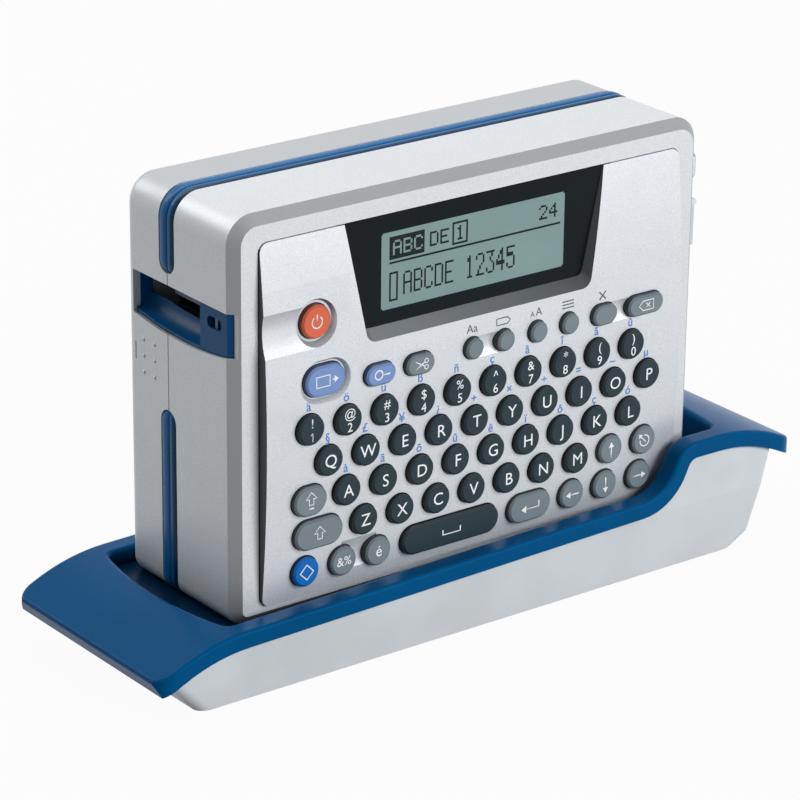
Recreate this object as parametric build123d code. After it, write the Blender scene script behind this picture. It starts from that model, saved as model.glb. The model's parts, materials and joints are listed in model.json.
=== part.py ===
from build123d import *
import os
from math import cos, hypot, pi, radians, sin, sqrt, tan

# A desktop label maker standing in its charger cradle.
# Millimetres. X runs to the right, Y to the back and Z up, from the table under the cradle's middle.

# Label maker body
body_width = 169.0
body_height = 122.0
body_depth = 53.5
body_front = -26.2
body_floor = 18.0
case_wall = 2.4
corner_radius = 8.5
lower_corner_radius = 4.8
front_chamfer = 3.0
back_round = 4.0
front_half = 32.2
seam_width = 0.5
seam_depth = 0.5

# Keypad panel, heights measured from the underside of the body
panel_side_margin = 8.8
panel_bottom = 5.0
panel_top_margin = 8.3
panel_radius = 3.0
panel_gap = 0.25
panel_seat = 1.4
panel_ledge = 2.0
panel_crown = 3.8
panel_crown_height = 62.0
panel_foot = 1.1
panel_head = 0.3

# Display
display_floor = 81.1
display_half_bottom = 39.5
display_half_top = 46.6
display_bevel_down = 3.8
display_bevel_side = 2.0
display_bevel_reach = 4.2
display_corner = 4.0
display_inner_corner = 2.0
display_gap = 0.2
lcd_half_width = 42.0
lcd_bottom = 83.0
lcd_top_margin = 2.7

# Keys, rows measured from the panel's lower edge up, places along a row in key pitches from the first digit
key_row_gap = 1.6
first_key_margin = 14.3
last_key_margin = 19.65
row_pitch = 10.8
bottom_row_margin = 8.4
bottom_row_extra = 0.6
function_above_digits = 11.65
function_diameter = 6.6
power_above_print = 17.7
power_diameter = 10.2
print_above_digits = 13.2
print_tall = 9.5
cut_above_digits = 11.3
small_tall = 6.5
key_gap = 0.25
key_proud = 1.8
key_taper = 6.0
key_edge = 0.55
key_edge_slope = 48.0
key_travel = 0.9
key_lip = 0.7
key_lip_thickness = 0.8
key_back_gap = 0.1
digit_count = 10
letter_counts = (10, 9, 7)
power_dish = 13.8
print_dish_width = 17.0
print_dish_height = 12.5
dish_depth = 1.5
dish_slope = 35.0
power_scoop_height = 12.7
power_scoop_depth = 1.1
pair_scoop_depth = 0.8

# Boards behind the keys
mat_thickness = 1.2
mat_half_width = 70.0
mat_bottom = 7.0
mat_top = 76.0
board_thickness = 1.6
board_side_gap = 3.2
board_bottom = 9.0
board_top_margin = 11.0
post_radius = 2.5
post_edge = 4.2
post_heights = (16.0, 64.0)
post_top_margin = 16.5
jack_width = 10.0
jack_height = 9.0
jack_depth = 9.0

# Trim strips in the seam
trim_width = 7.1
trim_groove = 7.7
trim_depth = 1.2
trim_proud = 0.35
trim_edge_drop = 0.45
trim_above_slot = 3.4
trim_below_slot = 22.6
trim_lower_turn = 60.0

# Label exit on the left side, depths measured from the front face, heights from the tape's line
tape_drop = 35.0
slot_front = 0.6
slot_back = 49.5
slot_above_tape = 7.3
slot_ends_below_tape = 5.6
slot_middle_below_tape = 7.8
tray_gap = 0.3
tray_recess = 0.9
tray_flange = 2.4
tray_flange_lip = 2.2
exit_front = 17.0
exit_below_tape = 1.0
scoop_radius = 6.95
scoop_lip = 0.9
strap_depth = 10.1
strap_above_tape = 2.3
strap_recess_width = 7.0
strap_recess_height = 3.6
strap_recess_depth = 2.2
strap_bar_radius = 0.6
strap_bar_end = 0.8
chute_length = 1.7
chute_wall = 1.2
chute_floor = 4.2

# Grip marks on the left side, behind the seam and below the tape's line
grip_dot_radius = 0.7
grip_dot_sunk = 0.3
grip_dot_depths = (38.95, 44.4)
grip_dot_drops = (12.65, 17.6, 22.55)
grip_bar_depth = 48.5
grip_bar_drop = 17.0
grip_bar_length = 5.2
grip_bar_width = 0.7
grip_bar_cut = 0.4

# Right side, drops measured from the top of the body
button_depth = 4.0
button_length = 12.0
button_drop = 21.7
button_height = 9.0
button_travel = 1.8
button_stop = 1.0
button_gap = 0.3
button_lip = 1.2
button_lip_thickness = 1.0
flap_depth = 4.2
flap_length = 13.0
flap_drop = 42.0
flap_height = 15.0
flap_thickness = 2.0
flap_gap = 0.1
flap_ear = 1.0
flap_pin_radius = 0.4
jack_opening_radius = 2.8

# Cassette door in the back
door_width = 132.0
door_bottom = 30.0
door_top_margin = 10.0
door_gap = 0.35
door_corner = 3.0
door_pin_radius = 0.7
door_pin_length = 5.0
door_boss_half = 2.6
door_boss_length = 7.0
running_gap = 0.05
grip_ribs = 7
grip_rib_pitch = 3.2
grip_rib_width = 1.2
grip_rib_depth = 0.6
grip_rib_length = 26.0

# Screws
tower_radius = 2.8
tower_side = 8.5
tower_edge = 5.8
screw_radius = 1.1
screw_head_radius = 2.0
screw_head_height = 1.8
screw_grip = 8.0
screw_slack = 0.15

# Print mechanism, depths measured from the front face
chassis_depth = 12.0
chassis_thickness = 1.6
chassis_left = -78.0
chassis_right = 26.0
chassis_bottom = 12.0
chassis_top_margin = 12.0
chassis_leg_radius = 2.5
chassis_leg_inset = 5.0
tape_width = 18.0
platen_x = -66.0
platen_radius = 4.0
platen_length = 24.0
platen_start = 16.0
platen_shaft_radius = 1.5
platen_clearance = 0.1
bridge_thickness = 5.0
bridge_gap = 1.4
bridge_half_width = 6.0
end_plate_thickness = 1.6
head_width = 5.5
head_height = 9.0
head_gap = 0.2
head_bracket = 2.0
gear_module = 0.8
gear_width = 3.0
gear_start = 7.5
platen_teeth = 24
idler_teeth = 30
pinion_teeth = 12
motor_radius = 10.0
motor_length = 22.0
motor_shaft_radius = 1.0
motor_bore_depth = 4.0
motor_hole_radius = 3.2
blade_x = -75.0
blade_thickness = 1.0
blade_height = 13.0
blade_rest_gap = 2.0
blade_travel = 4.0
blade_shear_gap = 0.1
blade_guide_wall = 2.0
blade_guide_gap = 0.25
blade_guide_depth = 4.4
blade_root = 1.7
fixed_blade_height = 12.0

# Tape cassette
cassette_left = -52.0
cassette_right = 32.0
cassette_height = 60.0
cassette_top_margin = 12.0
cassette_depth = 26.0
cassette_wall = 1.5
cassette_mouth = 5.0
reel_gap = 2.0
tape_roll_x = 8.0
tape_roll_drop = 30.0
tape_roll_radius = 21.0
tape_roll_pin = 6.0
supply_x = -30.0
supply_drop = 42.0
supply_radius = 9.0
takeup_x = -33.0
takeup_drop = 13.0
takeup_radius = 7.0
ribbon_pin = 3.0

# Battery pack
battery_left = 34.0
battery_right = 71.0
battery_front = 16.0
battery_back = 48.0
battery_height = 80.0
battery_round = 5.0

# Charging contacts
contact_spacing = 14.0
contact_depth = 20.0
terminal_size = 6.6
terminal_gap = 0.2
terminal_recess = 0.1
terminal_flange = 0.8
contact_pin_radius = 1.2
contact_touch_gap = 0.15
contact_pin_length = 6.4
contact_pin_travel = 0.8
block_half_width = 14.0
block_half_depth = 8.0
block_gap = 0.3
block_drop = 0.2

# Cradle, the rim's rise measured from the right end
cradle_length = 236.0
cradle_depth = 76.0
cradle_plan_radius = 6.0
rim_band = 5.0
rim_round = 1.2
well_edge_round = 1.5
rim_seat_gap = 0.05
rim_steepest = 75.0
wing_reach = 18.0
wing_droop = 8.5
wing_round = 60.0
rim_left = 22.7
rim_right = 26.1
rim_high = 41.0
rise_start = 52.5
rise_end = 45.7
rise_low_round = 13.2
rise_high_round = 8.8
well_end_gap = 5.4
well_side_gap = 4.25
well_bow = 3.6
well_corner = 3.0
tub_wall = 1.6
tub_floor = 2.0
base_lift = 0.6
base_wall = 2.2
base_tub_gap = 2.0
base_flare = 2.0
base_flare_height = 20.0
base_left_reach = 17.9
base_right_reach = 13.5
base_kick = 5.6
base_kick_height = 4.1
base_left_gap = 2.5
base_right_gap = 7.0
base_corner = 3.5
boss_radius = 3.0
boss_end_gap = 18.0
boss_side_gap = 8.4
foot_radius = 5.0
foot_thickness = 2.0
foot_end_gap = 14.0
foot_y = 13.0
cradle_board_left = -34.0
cradle_board_end_gap = 12.0
cradle_board_half_depth = 18.0
cradle_board_height = 4.2
inlet_x = 62.0
inlet_width = 9.0
inlet_height = 9.0
inlet_overlap = 5.0
inlet_bore = 2.75
inlet_bore_depth = 8.0
inlet_pin = 1.0
inlet_opening = 4.0

# Values that follow from the sizes above
body_back = body_front + body_depth
body_top = body_floor + body_height
body_middle = body_floor + body_height / 2
body_side = body_width / 2
panel_width = body_width - 2 * panel_side_margin
panel_top = body_height - panel_top_margin
lcd_top = panel_top - lcd_top_margin
first_row_x = first_key_margin - panel_width / 2
key_pitch = (panel_width - first_key_margin - last_key_margin) / (digit_count - 1)
key_diameter = row_pitch - key_row_gap
bottom_row_height = panel_bottom + bottom_row_margin
first_row_height = bottom_row_height + 4 * row_pitch + bottom_row_extra
function_row_height = first_row_height + function_above_digits
print_height = first_row_height + print_above_digits
cut_height = first_row_height + cut_above_digits
power_height = print_height + power_above_print
board_top = body_height - board_top_margin
tape_height = body_height - tape_drop
slot_top = tape_height + slot_above_tape
slot_end_bottom = tape_height - slot_ends_below_tape
slot_middle_bottom = tape_height - slot_middle_below_tape
exit_bottom = tape_height - exit_below_tape
exit_top = slot_top - tray_gap
exit_back = slot_back - tray_gap
strap_height = tape_height + strap_above_tape
trim_upper_end = slot_top + trim_above_slot
trim_lower_start = slot_middle_bottom - trim_below_slot
button_bottom = body_height - button_drop
flap_bottom = body_height - flap_drop
door_top = body_height - door_top_margin
chassis_top = body_height - chassis_top_margin
cassette_top = body_height - cassette_top_margin
cassette_bottom = cassette_top - cassette_height
seam_y = body_front + front_half
inner_side = body_side - case_wall
inner_floor = body_floor + case_wall
inner_front = body_front + case_wall
inner_back = body_back - case_wall
panel_back = body_front + panel_seat
button_proud = button_travel + button_stop
key_lip_front = panel_back + key_back_gap
mat_front = key_lip_front + key_lip_thickness + key_travel + key_back_gap
board_front = mat_front + mat_thickness
board_back = board_front + board_thickness
chassis_front = body_front + chassis_depth
chassis_back = chassis_front + chassis_thickness
tape_z = body_floor + tape_height
platen_z = tape_z - platen_radius - platen_clearance
idler_z = platen_z - gear_module * (platen_teeth + idler_teeth) / 2
motor_z = idler_z - gear_module * (idler_teeth + pinion_teeth) / 2
cassette_back = chassis_back + cassette_depth
door_pivot_y = body_back - case_wall / 2
door_pivot_z = body_floor + door_top - case_wall / 2
well_half_width = body_side + well_end_gap
well_half_depth = body_depth / 2 + well_side_gap
base_half_depth_high = well_half_depth + tub_wall + base_tub_gap + base_wall
base_half_depth_low = base_half_depth_high - base_flare
base_left = -body_side - base_left_reach
base_right = body_side + base_right_reach
base_kick_x = base_right + base_kick
boss_y = well_half_depth + tub_wall - boss_side_gap
cradle_board_right = base_right - cradle_board_end_gap
base_floor_top = base_lift + base_wall
well_floor = body_floor
block_top = well_floor - block_drop
contact_y = body_front + contact_depth
cradle_board_top = cradle_board_height + board_thickness
big = 4 * cradle_length


# Drawing helpers
def slab(sketch, y_front, y_back):
    """A prism along Y from a sketch drawn in X and Z."""
    plane = Plane(origin=(0, y_back, 0), x_dir=(1, 0, 0), z_dir=(0, -1, 0))
    return extrude(plane * sketch, amount=y_back - y_front)


def beam(sketch, x_left, x_right):
    """A prism along X from a sketch drawn in Y and Z."""
    plane = Plane(origin=(x_left, 0, 0), x_dir=(0, 1, 0), z_dir=(1, 0, 0))
    return extrude(plane * sketch, amount=x_right - x_left)


def pillar(sketch, z_low, z_high):
    """A prism along Z from a sketch drawn in X and Y."""
    return extrude(Plane.XY.offset(z_low) * sketch, amount=z_high - z_low)


def block(x_low, x_high, y_low, y_high, z_low, z_high):
    centre = Pos((x_low + x_high) / 2, (y_low + y_high) / 2, (z_low + z_high) / 2)
    return centre * Box(x_high - x_low, y_high - y_low, z_high - z_low)


def rod(x, z, radius, y_front, y_back):
    """A round bar along Y."""
    return slab(Pos(x, z) * Circle(radius), y_front, y_back)


def span(low, high, bottom, top):
    """A rectangle from its edges."""
    return Pos((low + high) / 2, (bottom + top) / 2) * Rectangle(high - low, top - bottom)


def stadium(width, height):
    """A round or long key outline."""
    if abs(width - height) < 0.01:
        return Circle(width / 2)
    return SlotOverall(width, height)


def arc_centre(first, middle, last):
    """Centre and radius of the circle through three points."""
    (ax, ay), (bx, by), (cx, cy) = first, middle, last
    d = 2 * (ax * (by - cy) + bx * (cy - ay) + cx * (ay - by))
    a2, b2, c2 = ax * ax + ay * ay, bx * bx + by * by, cx * cx + cy * cy
    x = (a2 * (by - cy) + b2 * (cy - ay) + c2 * (ay - by)) / d
    y = (a2 * (cx - bx) + b2 * (ax - cx) + c2 * (bx - ax)) / d
    return x, y, hypot(ax - x, ay - y)


# Casing
def case_outline(inset):
    """The body seen from the front, moved in by inset, with smaller rounds below."""
    face = Pos(0, body_middle) * Rectangle(body_width - 2 * inset, body_height - 2 * inset)
    corners = face.vertices().sort_by(Axis.Y)
    face = fillet(corners[2:], corner_radius - inset)
    return fillet(face.vertices().sort_by(Axis.Y)[:2], lower_corner_radius - inset)


def front_envelope(inset, depth):
    """Outside form of the front shell, with its chamfered face, moved in by inset."""
    form = slab(case_outline(inset), body_front + inset, body_front + depth)
    return chamfer(form.faces().sort_by(Axis.Y)[0].edges(), front_chamfer)


def seam_ring(depth, y_front, y_back):
    """A band of the casing's surface, cut in by depth."""
    return slab(case_outline(-depth) - case_outline(depth), y_front, y_back)


def trim_mask():
    """Where the trim strips run: over the top, and down both sides from a lower start."""
    half = trim_groove / 2
    upper_end = body_floor + trim_upper_end + half
    lower_end = body_floor + trim_lower_start - half
    turn_low = body_floor + lower_corner_radius * (1 - sin(radians(trim_lower_turn)))
    upper = span(seam_y - half, seam_y + half, upper_end, big) + Pos(seam_y, upper_end) * Circle(half)
    lower = span(seam_y - half, seam_y + half, turn_low, lower_end) + Pos(seam_y, lower_end) * Circle(half)
    return beam(upper, -big, big) + beam(lower, -big, big)


def trim_groove_cutter():
    half = trim_groove / 2
    return seam_ring(trim_depth, seam_y - half, seam_y + half) & trim_mask()


def slot_outline(gap):
    """The label exit seen from the side, drawn in Y and Z."""
    front = body_front + slot_front + gap
    back = body_front + slot_back - gap
    top = body_floor + slot_top - gap
    end = body_floor + slot_end_bottom + gap
    middle = body_floor + slot_middle_bottom + gap
    edge = Polyline((front, end), (front, top), (back, top), (back, end))
    smile = ThreePointArc((back, end), ((front + back) / 2, middle), (front, end))
    return make_face(edge.edges() + smile.edges())


def slot_cutter():
    return beam(slot_outline(0), -body_side - case_wall, -inner_side)


def panel_outline(gap):
    width = panel_width + 2 * gap
    height = panel_top - panel_bottom + 2 * gap
    centre = body_floor + (panel_top + panel_bottom) / 2
    return Pos(0, centre) * RectangleRounded(width, height, panel_radius)


def screw_places():
    x = body_side - tower_side
    low, high = body_floor + tower_edge, body_top - tower_edge
    return [(-x, low), (x, low), (-x, high), (x, high)]


def post_places():
    x = inner_side - post_edge
    heights = post_heights + (board_top - post_top_margin,)
    return [(side * x, body_floor + height) for height in heights for side in (-1, 1)]


def button_outline(gap):
    y = body_front + button_depth + button_length / 2
    z = body_floor + button_bottom + button_height / 2
    return Pos(y, z) * RectangleRounded(button_length + 2 * gap, button_height + 2 * gap, button_height / 4)


def flap_axis():
    """X and Z of the port flap's hinge, at its top edge."""
    x = body_side + flap_gap + flap_thickness / 2
    return x, body_floor + flap_bottom + flap_height - flap_thickness / 2


def flap_ears():
    """Two lugs on the right wall with the flap's hinge stubs."""
    x, z = flap_axis()
    front = body_front + flap_depth
    back = front + flap_length
    ears = []
    for inner, outer in ((front - flap_gap, front - flap_ear), (back + flap_gap, back + flap_ear)):
        low, high = min(inner, outer), max(inner, outer)
        lug = span(body_side - case_wall / 2, x, z - flap_thickness / 2, z + flap_thickness / 2)
        ears.append(slab(lug + Pos(x, z) * Circle(flap_thickness / 2), low, high))
    ears.append(rod(x, z, flap_pin_radius, front - flap_ear, front + flap_ear))
    ears.append(rod(x, z, flap_pin_radius, back - flap_ear, back + flap_ear))
    return ears


def jack_centre():
    """Y and Z of the power jack's mouth behind the flap."""
    return board_back + jack_depth / 2, body_floor + flap_bottom + flap_height / 2 - flap_thickness / 2


def front_case():
    shell = front_envelope(0, front_half)
    shell -= slab(case_outline(case_wall), inner_front, seam_y + case_wall)
    shell -= slab(panel_outline(panel_gap), body_front - panel_crown, panel_back)
    shell -= slab(panel_outline(-panel_ledge), panel_back, inner_front)
    for x, z in post_places():
        shell += rod(x, z, post_radius, inner_front, board_front)
        shell -= rod(x, z, screw_radius, inner_front, board_front)
    for x, z in screw_places():
        shell += rod(x, z, tower_radius, inner_front, seam_y)
        shell -= rod(x, z, screw_radius, seam_y - screw_grip - screw_head_height, seam_y)
    shell -= trim_groove_cutter()
    shell -= seam_ring(seam_depth, seam_y - seam_width, seam_y)
    shell -= slot_cutter()
    shell -= beam(button_outline(button_gap), inner_side, body_side + case_wall)
    for ear in flap_ears():
        shell += ear
    jack_y, jack_z = jack_centre()
    shell -= beam(Pos(jack_y, jack_z) * Circle(jack_opening_radius), inner_side, body_side + flap_gap / 2)
    side = terminal_size + 2 * terminal_gap
    for x in (-contact_spacing / 2, contact_spacing / 2):
        shell -= pillar(Pos(x, contact_y) * Rectangle(side, side), body_floor, inner_floor)
    return shell


def door_outline(gap):
    width = door_width + 2 * gap
    height = door_top - door_bottom + 2 * gap
    centre = body_floor + (door_top + door_bottom) / 2
    return Pos(0, centre) * RectangleRounded(width, height, door_corner)


def rear_case():
    shell = slab(case_outline(0), seam_y, body_back)
    shell = fillet(shell.faces().sort_by(Axis.Y)[-1].edges(), back_round)
    shell -= slab(case_outline(case_wall), seam_y - case_wall, inner_back)
    for x, z in screw_places():
        shell += rod(x, z, tower_radius, seam_y, inner_back)
        shell -= rod(x, z, screw_radius + screw_slack, seam_y, body_back)
        shell -= rod(x, z, screw_head_radius + screw_slack, body_back - screw_head_height, body_back)
    shell -= slab(door_outline(door_gap), inner_back - case_wall, body_back)
    half, top = door_width / 2 + door_gap, body_floor + door_top
    shell -= block(-half, half, inner_back, body_back, door_pivot_z - door_corner, top + door_gap)
    for side in (-1, 1):
        inner = side * (door_width / 2 + door_gap)
        outer = inner + side * door_boss_length
        boss = block(min(inner, outer), max(inner, outer), inner_back - door_boss_half, inner_back,
                     door_pivot_z - door_boss_half, door_pivot_z + door_boss_half)
        tip = side * (door_width / 2 - door_pin_length)
        pin = Pos(door_pivot_y, door_pivot_z) * Circle(door_pin_radius)
        shell += boss
        shell += beam(pin, min(tip, outer), max(tip, outer))
    shell -= trim_groove_cutter()
    shell -= slot_cutter()
    for depth in grip_dot_depths:
        for drop in grip_dot_drops:
            place = Pos(grip_dot_sunk - body_side, body_front + depth, tape_z - drop)
            shell += place * Sphere(grip_dot_radius)
    bar_y, bar_z = body_front + grip_bar_depth, tape_z - grip_bar_drop
    shell -= block(-body_side - grip_bar_cut, grip_bar_cut - body_side,
                   bar_y - grip_bar_width / 2, bar_y + grip_bar_width / 2,
                   bar_z - grip_bar_length / 2, bar_z + grip_bar_length / 2)
    return shell


def cassette_door():
    """Back door, hung on two stubs at its rounded top edge, with grip ribs near its lower edge."""
    half = door_width / 2
    door = slab(door_outline(0), inner_back, body_back)
    top = door_pivot_z
    door -= block(-half, half, inner_back, body_back, top, top + case_wall)
    door += beam(Pos(door_pivot_y, top) * Circle(case_wall / 2), -half, half)
    bore = Pos(door_pivot_y, top) * Circle(door_pin_radius + running_gap)
    reach = door_pin_length + running_gap
    door -= beam(bore, -half, reach - half)
    door -= beam(bore, half - reach, half)
    for i in range(grip_ribs):
        z = body_floor + door_bottom + grip_rib_pitch * (i + 2)
        door -= block(-grip_rib_length / 2, grip_rib_length / 2, body_back - grip_rib_depth, body_back,
                      z - grip_rib_width / 2, z + grip_rib_width / 2)
    return door


def case_screws():
    screws = []
    for x, z in screw_places():
        head = rod(x, z, screw_head_radius, body_back - screw_head_height, body_back)
        screws.append(head + rod(x, z, screw_radius, seam_y - screw_grip, body_back - screw_head_height))
    return screws


def trim_bead():
    """Section of the strip, drawn across its run: flat on the groove's floor, rounded outside."""
    half, drop = trim_width / 2, trim_edge_drop
    crown = ThreePointArc((-half, -drop), (0, trim_proud), (half, -drop))
    foot = Polyline((half, -drop), (half, -trim_depth), (-half, -trim_depth), (-half, -drop))
    return make_face(crown.edges() + foot.edges())


def trim_strips():
    """The upper strip over the top and the two lower strips, as separate pieces."""
    side = body_side
    upper_end = body_floor + trim_upper_end
    lower_start = body_floor + trim_lower_start
    high = FilletPolyline((-side, upper_end), (-side, body_top), (side, body_top), (side, upper_end),
                          radius=corner_radius)
    place = Plane(origin=(0, seam_y, 0), x_dir=(1, 0, 0), z_dir=(0, -1, 0))
    start = Plane(origin=(-side, seam_y, upper_end), x_dir=(0, 1, 0), z_dir=(0, 0, 1))
    strips = [sweep(start * trim_bead(), path=place * high)]
    corner = body_floor + lower_corner_radius
    run = Line((-side, lower_start), (-side, corner))
    turn = CenterArc((lower_corner_radius - side, corner), lower_corner_radius, 180, trim_lower_turn)
    start = Plane(origin=(-side, seam_y, lower_start), x_dir=(0, -1, 0), z_dir=(0, 0, -1))
    low = sweep(start * trim_bead(), path=place * Wire(run.edges() + turn.edges()))
    strips.append(low)
    strips.append(mirror(low, about=Plane.YZ))
    return [strip & trim_mask() for strip in strips]


# Front panel, display and keys
def panel_arc():
    """The panel's arched face in height and bulge: centre and radius."""
    return arc_centre((panel_bottom, panel_foot), (panel_crown_height, panel_crown), (panel_top, panel_head))


def panel_bulge(height):
    """How far the panel stands out of the front face at a height above the body's underside."""
    centre_height, centre_bulge, radius = panel_arc()
    return centre_bulge + sqrt(radius * radius - (height - centre_height) ** 2)


def key_layout():
    """Every key as X, height, width and height of its outline, and how deep its dish is."""
    def key(column, height, columns, tall):
        return first_row_x + column * key_pitch, height, columns * key_pitch, tall

    def round_key(column, height, diameter=key_diameter):
        return first_row_x + column * key_pitch, height, diameter, diameter

    rows = [first_row_height - i * row_pitch for i in range(4)]
    line, small = function_row_height, function_diameter
    last = bottom_row_height
    keys = {
        "power_key": [round_key(0.26, power_height, power_diameter) + (dish_depth,)],
        "print_key": [key(0.46, print_height, 1.07, print_tall) + (dish_depth,)],
        "preview_key": [key(1.86, cut_height, 0.81, small_tall)],
        "cut_key": [key(2.935, cut_height, 0.79, small_tall)],
        "text_key": [round_key(4.44, line, small)],
        "label_key": [round_key(5.32, line, small)],
        "size_key": [round_key(6.255, line, small)],
        "tools_key": [round_key(7.165, line, small)],
        "clear_key": [key(8.17, line, 0.72, small_tall)],
        "backspace_key": [key(9.365, line, 1.057, small_tall)],
        "caps_key": [key(0.0, rows[2], 0.89, key_diameter)],
        "shift_key": [key(0.26, rows[3], 1.30, key_diameter)],
        "up_key": [round_key(8.5, rows[3])],
        "escape_key": [round_key(9.5, rows[3])],
        "code_key": [round_key(-0.04, last)],
        "symbol_key": [round_key(0.965, last)],
        "accent_key": [round_key(1.915, last)],
        "space_key": [key(3.94, last, 2.735, key_diameter)],
        "return_key": [key(6.2, last, 1.225, key_diameter)],
        "left_key": [round_key(7.435, last)],
        "down_key": [round_key(8.42, last)],
        "right_key": [round_key(9.435, last)],
        "digit_keys": [round_key(i, rows[0]) for i in range(digit_count)],
    }
    keys["letter_keys"] = [round_key(i + (row + 1) / 2, rows[row + 1])
                           for row, count in enumerate(letter_counts) for i in range(count)]
    return keys


def key_cap(x, height, width, tall, dish=0.0):
    """A tapered cap through the panel or a dish in it, with a lip behind it that keeps it in."""
    z = body_floor + height
    waist = body_front - panel_bulge(height) + dish
    shoulder = waist - key_proud + key_edge
    draw_in = (waist - shoulder) * tan(radians(key_taper))
    def at(y):
        return Plane(origin=(x, y, z), x_dir=(1, 0, 0), z_dir=(0, -1, 0))
    cap = slab(Pos(x, z) * stadium(width, tall), waist, key_lip_front)
    cap += extrude(at(waist) * stadium(width, tall), amount=waist - shoulder, taper=key_taper)
    face = stadium(width - 2 * draw_in, tall - 2 * draw_in)
    cap += extrude(at(shoulder) * face, amount=key_edge, taper=key_edge_slope)
    lip = Pos(x, z) * Rectangle(width + 2 * key_lip, tall + 2 * key_lip)
    return cap + slab(lip, key_lip_front, key_lip_front + key_lip_thickness)


def display_outline(drop, spread, corner, gap=0.0):
    """Display window in X and Z, wider at the top; drop and spread open it outwards."""
    slope = (display_half_top - display_half_bottom) / (panel_top - display_floor)
    low = display_floor - drop
    high = panel_top + panel_gap + display_corner
    def half(height):
        return display_half_bottom + spread + slope * (height - display_floor) - gap
    z_low, z_high = body_floor + low + gap, body_floor + high
    sketch = Polygon((-half(low), z_low), (half(low), z_low), (half(high), z_high), (-half(high), z_high),
                     align=None)
    return fillet(sketch.vertices().sort_by(Axis.Y)[:2], corner)


def display_cutter():
    """Bevelled opening that the display lies in."""
    def at(y):
        return Plane(origin=(0, y, 0), x_dir=(1, 0, 0), z_dir=(0, -1, 0))
    floor = display_outline(0, 0, display_inner_corner)
    mouth = display_outline(display_bevel_down, display_bevel_side, display_corner)
    funnel = loft([at(body_front) * floor, at(body_front - display_bevel_reach) * mouth], ruled=True)
    return funnel + slab(floor, body_front, panel_back)


def dish_cutter(x, height, width, tall):
    """Shallow sloped dish round a key."""
    front = body_front - panel_bulge(height) - panel_crown
    bottom = body_front - panel_bulge(height) + dish_depth
    plane = Plane(origin=(x, bottom, body_floor + height), x_dir=(1, 0, 0), z_dir=(0, -1, 0))
    lean = dish_depth * sin(radians(dish_slope))
    floor = stadium(width - 2 * lean, tall - 2 * lean)
    return extrude(plane * floor, amount=bottom - front, taper=-dish_slope)


def scoop_cutter(x_left, x_right, height, tall, depth):
    """Round-bottomed groove along X in the panel's face."""
    radius = (tall * tall / 4 + depth * depth) / (2 * depth)
    y = body_front - panel_bulge(height) + depth - radius
    return beam(Pos(y, body_floor + height) * Circle(radius), x_left, x_right)


def keypad_panel():
    """Front panel: an arched plate with the display opening, key grooves and a hole for every key."""
    centre_height, centre_bulge, radius = panel_arc()
    barrel = Pos(body_front - centre_bulge, body_floor + centre_height) * Circle(radius)
    plate = slab(panel_outline(0), body_front - 2 * panel_crown, panel_back)
    plate &= beam(barrel, -panel_width, panel_width)
    plate -= display_cutter()
    layout = key_layout()
    power_x, power_height = layout["power_key"][0][:2]
    print_x, print_height = layout["print_key"][0][:2]
    plate -= dish_cutter(power_x, power_height, power_dish, power_dish)
    plate -= dish_cutter(print_x, print_height, print_dish_width, print_dish_height)
    plate -= scoop_cutter(-panel_width, power_x, power_height, power_scoop_height, power_scoop_depth)
    pairs = (("text_key", "label_key"), ("clear_key", "backspace_key"), ("symbol_key", "accent_key"))
    for left, right in pairs:
        left_x, height, _, tall = layout[left][0]
        right_x = layout[right][0][0]
        plate -= scoop_cutter(left_x, right_x, height, tall, pair_scoop_depth)
    holes = Sketch()
    for places in layout.values():
        for x, height, width, tall, *_ in places:
            holes += Pos(x, body_floor + height) * stadium(width + 2 * key_gap, tall + 2 * key_gap)
    return plate - slab(holes, body_front - 2 * panel_crown, panel_back)


def lcd_window():
    """Dark display window, level with the front face."""
    window = slab(display_outline(0, 0, display_inner_corner, display_gap), body_front, panel_back)
    return window & slab(panel_outline(0), body_front, panel_back)


def lcd_module():
    return block(-lcd_half_width, lcd_half_width, panel_back, board_front,
                 body_floor + lcd_bottom, body_floor + lcd_top)


def keypad_mat():
    """Rubber sheet under the keys, with a tab up to the power key."""
    power_x, power_height, power_width = key_layout()["power_key"][0][:3]
    sheet = span(-mat_half_width, mat_half_width, body_floor + mat_bottom, body_floor + mat_top)
    sheet += span(power_x - power_width, power_x + power_width, body_floor + mat_bottom,
                  body_floor + power_height + power_width)
    return slab(sheet, mat_front, board_front)


def main_board():
    """Circuit board on the case posts, with the power jack at its right edge."""
    half = inner_side - board_side_gap
    sheet = span(-half, half, body_floor + board_bottom, body_floor + board_top)
    board = slab(sheet, board_front, board_back)
    for x, z in post_places():
        board -= rod(x, z, screw_radius + screw_slack, board_front, board_back)
    jack_y, jack_z = jack_centre()
    jack = block(half - jack_width, half, board_back, board_back + jack_depth,
                 jack_z - jack_height / 2, jack_z + jack_height / 2)
    mouth = beam(Pos(jack_y, jack_z) * Circle(jack_opening_radius), half - jack_width * 0.8, half)
    return board + (jack - mouth)


# Left and right side fittings
def tray_scoop():
    """Round trough under the tape's exit that follows the slot's curved lower edge."""
    front, back = body_front + slot_front, body_front + slot_back
    end, middle = body_floor + slot_end_bottom, body_floor + slot_middle_bottom
    y, z, _ = arc_centre((front, end), ((front + back) / 2, middle), (back, end))
    low = middle + tray_gap + scoop_lip
    ring = Plane(origin=(0, y, 0), x_dir=(1, 0, 0), z_dir=(0, -1, 0))
    section = ring * (Pos(-body_side, low + scoop_radius) * Circle(scoop_radius))
    trough = revolve(section, axis=Axis((0, y, z), (1, 0, 0)), revolution_arc=360)
    return trough & block(-big, 0, body_front + exit_front, body_front + exit_back, 0, tape_z)


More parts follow.
